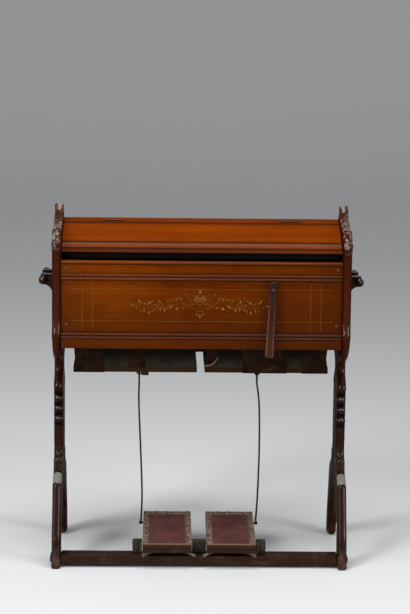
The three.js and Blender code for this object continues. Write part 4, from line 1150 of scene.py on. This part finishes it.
def carpet_colours():
    pile = Finish("worn_carpet")
    x, y = pile.axes("XY")
    across = abs(abs(x) - (pedal_inner + pedal_outer) / 2)
    ragged = pile.noise(95, 4, 0.6) * 0.011 + pile.noise(22, 3) * 0.006 - 0.0085
    side_band = pile.ramp(across + ragged, (0.0425, 0.0), (0.0465, 1.0))
    rear_band = pile.ramp(y + ragged, (0.031, 0.0), (0.0365, 1.0))
    front_band = pile.ramp(y + 0.2 - ragged * 0.35, (0.0345, 1.0), (0.037, 0.0))
    frayed = pile.ramp(abs(y + 0.1605 - ragged * 0.35), (0.0022, 0.9), (0.0046, 0.0))
    tufts = pile.noise(620, 3, 0.6)
    worn = pile.clouds((17, 5, 0.6), (0.36, 0.0), (0.64, 1.0))
    field = pile.glazed((0.07, 0.017, 0.014), (worn, (0.125, 0.039, 0.031)),
                        (pile.clouds((48, 5, 0.7), (0.52, 0.0), (0.78, 0.6)), (0.14, 0.06, 0.048)))
    threads = pile.clouds((150, 5, 0.75), (0.42, 0.0), (0.56, 1.0))
    jute = pile.mix(threads, (0.03, 0.017, 0.012), (0.29, 0.2, 0.143))
    roll = pile.mix(pile.clouds((110, 4, 0.7), (0.3, 0.0), (0.6, 1.0)), (0.014, 0.007, 0.0044),
                    (0.04, 0.0215, 0.0135))
    colour = pile.glazed(
        field, (side_band, jute), (rear_band, jute), (front_band, roll), (frayed, (0.3, 0.18, 0.085)),
        (pile.ramp(tufts, (0.3, 0.45), (0.6, 0.0)), (0.03, 0.014, 0.012)))
    pile.bump(tufts * 0.7 + pile.noise(210, 4, 0.7) * 0.5, 0.0011, 0.8)
    return pile.set(Base_Color=colour, Roughness=0.93, Specular_IOR_Level=0.05, Sheen_Weight=0.05)


carpet_pile = carpet_colours()
bearing_wood = varnished("bearing_wood", 2, (0.019, 0.0165, 0.012), (0.08, 0.069, 0.052), 0.0)
tack_draw = random.Random(5)
carpet_step, carpet_length = 2.5 * mm, pedal_toe - pedal_heel - nose_round
for side, sign in both_sides:
    low_x, high_x = sorted((sign * pedal_inner, sign * pedal_outer))
    leaf_shells = moved(tread, [board((low_x, pedal_heel, -pedal_half), (high_x, pedal_toe, pedal_half))])
    piece(f"pedal_leaf_{side}", leaf_shells, dark_wood, f"pedal_{side}", "dark_wood", f"pedal_board_{side}",
          arris=1.6 * mm)

    tacks = [(x, y + tack_draw.uniform(-3, 3) * mm) for x in (low_x + tack_inset, high_x - tack_inset)
             for y in spread(pedal_heel + 14 * mm, pedal_toe - 26 * mm, 30 * mm)]
    tacks += [(x + tack_draw.uniform(-2, 2) * mm, pedal_toe - tack_inset)
              for x in spread(low_x + tack_inset, high_x - tack_inset, 25 * mm)]

    def carpet_height(x, y):
        """The pile drawn down by each tack and puckered up around it, and trodden flat in the middle."""
        height = carpet_high + 0.35 * mm * noise.noise(Vector((x * 55, y * 55, sign)))
        height += 0.25 * mm * noise.noise(Vector((x * 260, y * 260, sign)))
        for tack_x, tack_y in tacks:
            far = math.hypot(x - tack_x, y - tack_y) / mm
            if far < pucker_reach:
                height += pucker_rise * mm * math.exp(-((far - pucker_ring) / pucker_width) ** 2)
                height -= tack_sink * mm * math.exp(-(far / sink_width) ** 2)
        return max(height, carpet_low)

    columns = spread(low_x, high_x, carpet_step)
    outer, inner = [], []
    for along in spread(0, carpet_length, carpet_step):
        y = pedal_toe - along
        fray = 0.8 * mm * noise.noise(Vector((y * 90, sign, 2)))
        row = [x + (fray if x in (low_x, high_x) else 0) for x in columns]
        outer.append([tread @ Vector((x, y, pedal_half + carpet_height(x, y))) for x in row])
        inner.append([tread @ Vector((x, y, pedal_half + carpet_lift)) for x in row])
    for turn in (k * math.pi / 10 for k in range(1, 6)):
        for grid, lift in ((outer, carpet_high), (inner, carpet_lift)):
            reach = nose_round + lift
            grid.append([tread @ Vector((x, pedal_heel + nose_round - math.sin(turn) * reach,
                                         pedal_half - nose_round + math.cos(turn) * reach)) for x in columns])
    for share in (0.5, 1.0):
        drops = [nose_drop - nose_round + 1.3 * mm * noise.noise(Vector((x * 70, sign, 7))) for x in columns]
        for grid, lift in ((outer, carpet_high), (inner, carpet_lift)):
            y = pedal_heel - lift + 0.3 * mm * share
            grid.append([tread @ Vector((x, y, pedal_half - nose_round - share * drop))
                         for x, drop in zip(columns, drops)])
    cover = piece(f"pedal_carpet_{side}", [skin(outer, inner, False)], carpet_pile, f"pedal_{side}", "carpet",
                  f"pedal_cover_{side}", crease=80)
    heads = [screw_head((x, y, pedal_half + carpet_low + 0.25 * mm), (0, 0, 1), tack_radius, 0.0, 0.5, 14)
             for x, y in tacks]
    studs = piece(f"pedal_tacks_{side}", moved(tread, heads), iron_material, f"pedal_{side}", "black_iron")
    high_x - low_x

# Pedal bearings: three grey, worn blocks on the stretcher carry the axle. Screws and a dull grey bent
# strip hold each outer one, and leather tongues tie the fronts of the pedals down to the stretcher.
bearing_names = ("left", "centre", "right")
shells_of = {name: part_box(f"pedal_bracket_{name}") for name in bearing_names}
for name, (low, high) in shells_of.items():
    piece(f"bearing_block_{name}", [board(low, high)], bearing_wood, "case", "dark_wood",
          f"pedal_bracket_{name}", arris=1.8 * mm)
axle_end = shells_of["right"][1].x + 1.5 * mm
piece("pedal_axle_rod", [tube_along_x(axle_radius, -axle_end, axle_end, axle_y, axle_z, 20)], steel_material,
      "case", "steel", "pedal_axle", arris=0.5 * mm, segments=2)
bearing_face = shells_of["left"][0].y
block_screws, block_screw_radius = ((-148, 41.7), (148.5, 48.3), (149.8, 40.4), (2, 45)), 2.5 * mm
screws("bearing_screws", [(x * mm, bearing_face, z * mm) for x, z in block_screws], (0, -1, 0),
       block_screw_radius, screw_material, 0.4, 16)
clip_y, clip_width, clip_thickness = -141 * mm, 9 * mm, 1.1 * mm
tongue_y, tongue_width, tongue_thickness, tongue_slope, tongue_shift = -157, 7 * mm, 1.8 * mm, 0.12, 8
clip_path = [(134.5, 57), (137.6, 54.5), (138.6, 49), (138.6, 41), (137, 35.5), (133, 31.8), (127, 30.3)]
tongue_path = [(134, 30.3), (130, 31.2), (125, 33.6), (120, 36.6), (116, 38.6), (111, 39.4)]
tongue_leather = spotted("grey_leather", ((120, 5, 0.65), (0.35, 0.0), (0.7, 1.0)), (0.075, 0.061, 0.05),
                         (0.205, 0.175, 0.146), 0.75, None, ((500, 4, 0.6), 0.0004, 0.6),
                         Specular_IOR_Level=0.25)
for side, sign in both_sides:
    clip = [(sign * x * mm, clip_y, z * mm) for x, z in through(clip_path, 4)]
    piece(f"bearing_clip_{side}", [strip(clip, (0, 1, 0), clip_width, clip_thickness)], tongue_leather,
          "case", "steel", arris=0.3 * mm, segments=2)
    tied = ("case", f"pedal_{side}", (0, -157 * mm, 31 * mm), (0, -157 * mm, 39 * mm))
    middle = pedal_inner + pedal_outer
    shells = []
    for flip in (False, True):
        path = [(sign * (middle / mm - x - tongue_shift if flip else x) * mm,
                 (tongue_y - tongue_slope * (z - 30)) * mm, z * mm) for x, z in through(tongue_path, 4)]
        shells.append(strip(path, (0, 0.55, 0.83), tongue_width, tongue_thickness))
    piece(f"pedal_tongues_{side}", shells, tongue_leather, tied, "bellows_cloth", crease=60)

# Pull rods: black iron wire bent by hand. Each has a closed loop through the screw eye above, and below
# it turns into the pedal's edge under an iron knob, with a short leather collar over the bend.
rod_radius, pin_x, pin_depth, rod_reach, rod_loop = 2.2 * mm, 139 * mm, 14 * mm, 128 * mm, 8 * mm
knob_radius, collar_rings, collar_radius = 4.2 * mm, (5.2, 5.6, 8.8, 9.2), 3.7 * mm
rod_foot = Vector((axle_y + rod_reach * math.cos(pedal_slope), axle_z + rod_reach * math.sin(pedal_slope)))
loop_z = eye_z - eye_radius + eye_wire + rod_radius + 0.3 * mm - rod_loop
rod_bow = {"left": ((0.2, 136.8), (0.5, 140.6), (0.8, 145.4)),
           "right": ((0.2, 142.6), (0.5, 144.8), (0.8, 142.8))}
for side, sign in both_sides:
    foot = Vector((sign * pin_x, *rod_foot))
    top = Vector((sign * eye_x[side], eye_y, loop_z))
    path = [foot - Vector((sign * pin_depth, 0, 0)), foot - Vector((sign * 2 * rod_radius, 0, 0))]
    path += rounded_between(path[-1], foot, foot + Vector((0, 0, 2.2 * rod_radius)), 6)[1:]
    bowed = [tuple(path[-1])]
    bowed += [(sign * x * mm, foot.y + (top.y - foot.y) * share, foot.z + (top.z - foot.z) * share)
              for share, x in rod_bow[side]]
    bowed += [(top.x, top.y, top.z - rod_loop - 8 * mm), (top.x, top.y, top.z - rod_loop)]
    path += through(bowed, 10)[1:]
    ring = [(top.x, top.y + rod_loop * math.sin(a), top.z - rod_loop * math.cos(a))
            for a in (2 * math.pi * k / 32 for k in range(32))]
    shells = [wire(path, rod_radius, 12), wire(ring, rod_radius, 12, True),
              ball(foot + Vector((sign * 1 * mm, 0, 0.5 * mm)), knob_radius)]
    piece(f"bent_rod_{side}", shells, iron_material, f"rod_{side}", "black_iron", f"pedal_rod_{side}",
          crease=60)
    collar = [wire([foot + Vector((0, 0, z * mm)) for z in collar_rings], collar_radius, 18)]
    piece(f"rod_collar_{side}", collar, tongue_leather, f"rod_{side}", "bellows_cloth", arris=0.4 * mm,
          segments=2)

# Back and floor of the case: the back is boarded up in three plain planks with a bead at each joint,
# screwed to the end panels. The floor carries the feeders, and the air has left it dusty and dark.
back_low, back_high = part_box("back_panel")
plank_joints, groove = (602 * mm, 688 * mm), 1.6 * mm
back_profile = [(back_low.y, back_low.z), (back_high.y, back_low.z)]
for z in plank_joints:
    back_profile += [(back_high.y, z - groove), (back_high.y - groove, z), (back_high.y, z + groove)]
back_profile += [(back_high.y, back_high.z), (back_low.y, back_high.z)]
back_wood = varnished("back_wood", 0, (0.05, 0.018, 0.0075), (0.135, 0.052, 0.02), 0.08)
piece("planked_back", [run_along_x(back_profile, back_low.x, back_high.x)], back_wood, "case", "case_wood",
      "back_panel", arris=0.8 * mm, segments=2, angle=60)
screws("back_screws", [(sign * x * mm, back_high.y, z * mm) for sign in (-1, 1) for x in (308, 120)
                       for z in (538, 640, 750)], (0, 1, 0), 3.6 * mm, iron_material, 0.35)
bottom_wood = varnished("bottom_wood", 0, (0.013, 0.0065, 0.0035), (0.042, 0.021, 0.011), 0.0)


def finished(name, material):
    """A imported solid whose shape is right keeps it, and takes this finish."""
    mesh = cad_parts[name].data
    mesh.materials.clear()
    mesh.materials.append(material)


finished("case_bottom", bottom_wood)
finished("knee_shaft", iron_material)

# Reservoir: a flat bellows on the case floor under the reeds. A coil spring holds its board up, and its
# black cloth is drawn folded inward all round.
reservoir_low, reservoir_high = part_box("reservoir_board")
cloth_foot, cloth_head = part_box("reservoir_cloth")[0].z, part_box("reservoir_cloth")[1].z
pine = varnished("pine", 0, (0.25, 0.13, 0.056), (0.48, 0.3, 0.15), 0.05)
piece("reservoir_lid", [board(reservoir_low, reservoir_high)], pine, "reservoir", "plain_wood",
      "reservoir_board", arris=1.5 * mm)
reservoir_half, reservoir_fold, reservoir_pull, reservoir_corner = reservoir_high.x, 8 * mm, 1.2 * mm, 6 * mm


def reservoir_wall(s, t, out):
    (x, y), (nx, ny) = rim(s, reservoir_half, reservoir_low.y, reservoir_high.y, reservoir_corner)
    sunk = reservoir_fold * (1 - abs(2 * t - 1) ** fold_power) - out
    sunk += reservoir_pull * noise.noise(Vector((s * 24, t * 3, 1.5))) * math.sin(math.pi * t)
    return (x - nx * sunk, y - ny * sunk, cloth_foot + t * (cloth_head - cloth_foot))


around_board = 2 * reservoir_half + reservoir_high.y - reservoir_low.y - (4 - math.pi) * reservoir_corner
stations = spread(-around_board, around_board, 7 * mm)[:-1]
gathered = [[[reservoir_wall(s, k / 10, out) for s in stations] for k in range(11)]
            for out in (0, -cloth_thickness)]
risen = ("case", "reservoir", (0, 0, cloth_foot), (0, 0, cloth_head))
walls = piece("reservoir_walls", [skin(*gathered, True)], bellows_cloth, risen, "bellows_cloth",
              "reservoir_cloth", crease=70)
spring_low, spring_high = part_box("reservoir_spring")
middle = (spring_low + spring_high) / 2
piece("reservoir_coil", [coil(middle.x, middle.y, spring_low.z, spring_high.z, 5)], steel_material, risen,
      "steel", "reservoir_spring", crease=60)

# Reed pan: a pine board across the case. Brass reeds lie in a row above it, pallets close the cells
# below it, and the swell shutter in front of the reeds tips on its bar as the knee lever turns.
for name in ("reed_pan", "pallet_rank", "swell_shutter", "key_frame"):
    finished(name, pine)
finished("reed_rank", spotted("reed_brass", ((90, 5, 0.65), (0.4, 0.0), (0.72, 0.85)), (0.62, 0.42, 0.13),
                              (0.26, 0.145, 0.05), (0.28, 0.3), (0.95, -0.4),
                              ((1, 3, 0.5, (900, 60, 900)), 0.00005, 0.5)))

# Key surround: the name board behind the keys and a cheek at each end of them, varnished like the case
# but painted darker as shade, since they sit out of the light. A strip of black felt inside the lid's
# lip is a dark sheet that paints the key slot as shade.
# The name board and cheeks are a darker copy of the case wood: painted shade.
shaded_cheek_wood = varnished("shaded_cheek_wood", 0, (0.05, 0.011, 0.002), (0.13, 0.03, 0.0045), 0.25)
for name in ("name_board", "cheek_left", "cheek_right"):
    piece(f"varnished_{name}", [board(*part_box(name))], shaded_cheek_wood, "case", "case_wood", name, arris=1.5 * mm)
# The felt strip makes the key slot read black: a dark sheet standing in for shade.
felt = Finish("black_shade_felt")
fuzz = felt.noise(900, 4, 0.7)
felt.bump(fuzz, 0.0004, 0.7)
felt_shade_cloth = felt.set(Base_Color=felt.mix(fuzz, (0.003, 0.0026, 0.0026), (0.009, 0.008, 0.0075)),
                      Roughness=0.95, Specular_IOR_Level=0.0)
felt_y, felt_half, felt_thickness = from_front(62 * mm), lid_half - 8 * mm, 2.5 * mm
felt_low, felt_high = 727 * mm, 748 * mm
shade_felt_strip = piece("lid_shade_felt", [board((-felt_half, felt_y, felt_low),
                                      (felt_half, felt_y + felt_thickness, felt_high))], felt_shade_cloth, "lid",
                   "bellows_cloth")
2 * felt_half

# Keys: pine levers with ivory on the naturals and ebony caps on the sharps. The ivory is two thin leaves
# with a fine joint at the sharps' noses, yellowed and handled, and each natural has an ivory front.
key_pitch, natural_count, key_gap = 23.2 * mm, 24, 1 * mm
key_bottom, natural_top, sharp_top = 690 * mm, 713 * mm, 724 * mm
key_front, head_length, key_tail = from_front(66 * mm), 50 * mm, 111 * mm
sharp_width, sharp_clearance, sharp_back, ivory_back = 11 * mm, 0.9 * mm, 42 * mm, 44 * mm
ivory_leaf, front_leaf, lip_overhang, key_joint = 1.3 * mm, 1 * mm, 0.9 * mm, 0.18 * mm
keyboard_half, middle_octave = natural_count * key_pitch / 2, range(7, 14)
sharp_shifts = {0: -2.5 * mm, 1: 2.5 * mm, 3: -3.5 * mm, 4: 0.0, 5: 3.5 * mm}
note_names = "cdefgab"

ivory = Finish("yellowed_ivory")
ivory_grain = ivory.node("TexWave", {"wave_type": "BANDS", "bands_direction": "X"},
                         {"Vector": ivory.stretched((1, 0.08, 1)), "Scale": 240.0, "Distortion": 5.0,
                          "Detail": 3.0}, "Fac")
yellowed = ivory.clouds((24, 5, 0.6), (0.35, 0.0), (0.7, 1.0))
soiled_ivory = ivory.clouds((130, 5, 0.7), (0.56, 0.0), (0.78, 0.35))
ivory_colour = ivory.glazed((0.66, 0.575, 0.41), (yellowed, (0.52, 0.4, 0.235)),
                            (ivory_grain * 0.16, (0.43, 0.325, 0.19)), (soiled_ivory, (0.24, 0.15, 0.08)))
ivory_material = ivory.set(Base_Color=ivory_colour, Roughness=0.24 + yellowed * 0.16, Specular_IOR_Level=0.35)
ebony = Finish("ebony")
worn_ebony = ebony.clouds((1, 5, 0.65, (220, 24, 220)), (0.4, 0.0), (0.72, 1.0))
ebony.bump(worn_ebony, 0.00005, 0.5)
ebony_material = ebony.set(Base_Color=ebony.mix(worn_ebony, (0.0055, 0.0045, 0.004), (0.019, 0.014, 0.011)),
                           Roughness=0.26 + worn_ebony * 0.2, Specular_IOR_Level=0.35)
key_pine = varnished("key_pine", 1, (0.3, 0.17, 0.078), (0.56, 0.37, 0.195), 0.04)


def natural_left(index):
    return index * key_pitch - keyboard_half


def has_sharp(index):
    return 0 <= index < natural_count - 1 and index % 7 in sharp_shifts


def sharp_centre(index):
    return natural_left(index + 1) + sharp_shifts[index % 7]


cap_foot = natural_top - 0.8 * mm


def natural_shells(index):
    """The pine lever and the ivory of one natural, its tail narrowed beside each sharp."""
    left, right_side = natural_left(index) + key_gap / 2, natural_left(index + 1) - key_gap / 2
    room, head_back = sharp_width / 2 + sharp_clearance, key_front + head_length
    tail_left = sharp_centre(index - 1) + room if has_sharp(index - 1) else left
    tail_right = sharp_centre(index) - room if has_sharp(index) else right_side
    wood_front, wood_top = key_front + lip_overhang + front_leaf, natural_top - ivory_leaf
    lever = [board((left, wood_front, key_bottom), (right_side, head_back, wood_top)),
             board((tail_left, head_back - 0.5 * mm, key_bottom), (tail_right, key_tail, wood_top))]
    leaves = [board((left, key_front, wood_top), (right_side, head_back - key_joint, natural_top)),
              board((tail_left, head_back, wood_top), (tail_right, ivory_back, natural_top)),
              board((left + 0.2 * mm, key_front + lip_overhang, key_bottom + 1 * mm),
                    (right_side - 0.2 * mm, wood_front, wood_top - 0.1 * mm))]
    return lever, leaves


def sharp_shells(index):
    """The pine lever and the ebony cap of one sharp: sloped at its nose and drawn in towards its top."""
    centre, nose = sharp_centre(index), key_front + head_length + key_gap
    lever = [board((centre - sharp_width / 2, nose, key_bottom),
                   (centre + sharp_width / 2, key_tail, cap_foot))]
    rings = []
    for share in (0, 0.25, 0.5, 0.75, 0.92, 1):
        z = cap_foot + share * (sharp_top - cap_foot)
        half = sharp_width / 2 - 1.1 * mm * share - (0.5 * mm if share == 1 else 0)
        start = nose + 6 * mm * share ** 1.6 + (0.6 * mm if share == 1 else 0)
        rings.append([(centre - half, start, z), (centre + half, start, z), (centre + half, sharp_back, z),
                      (centre - half, sharp_back, z)])
    return lever, [lofted(rings)]


def laid_keys(name, lever, cover, cover_material, body, slot, rounding, *nodes):
    piece(f"{name}_lever", lever, key_pine, body, "plain_wood", arris=0.5 * mm, segments=2)
    piece(f"{name}_cover", cover, cover_material, body, slot, *nodes, arris=rounding, segments=2)


for index in middle_octave:
    note = note_names[index % 7]
    laid_keys(f"key_{note}", *natural_shells(index), ivory_material, f"note_{note}", "ivory", 0.45 * mm,
              f"key_{note}")
    if has_sharp(index):
        laid_keys(f"key_{note}_sharp", *sharp_shells(index), ebony_material, f"note_{note}_sharp", "ebony",
                  0.9 * mm, f"key_{note}_sharp")
for name, indexes in (("bass", range(0, 7)), ("treble", range(14, natural_count))):
    naturals = [natural_shells(index) for index in indexes]
    sharps = [sharp_shells(index) for index in indexes if has_sharp(index)]
    laid_keys(f"{name}_naturals", sum((lever for lever, _ in naturals), []),
              sum((leaves for _, leaves in naturals), []), ivory_material, "case", "ivory", 0.45 * mm,
              f"keys_{name}")
    laid_keys(f"{name}_sharps", sum((lever for lever, _ in sharps), []), sum((cap for _, cap in sharps), []),
              ebony_material, "case", "ebony", 0.9 * mm)
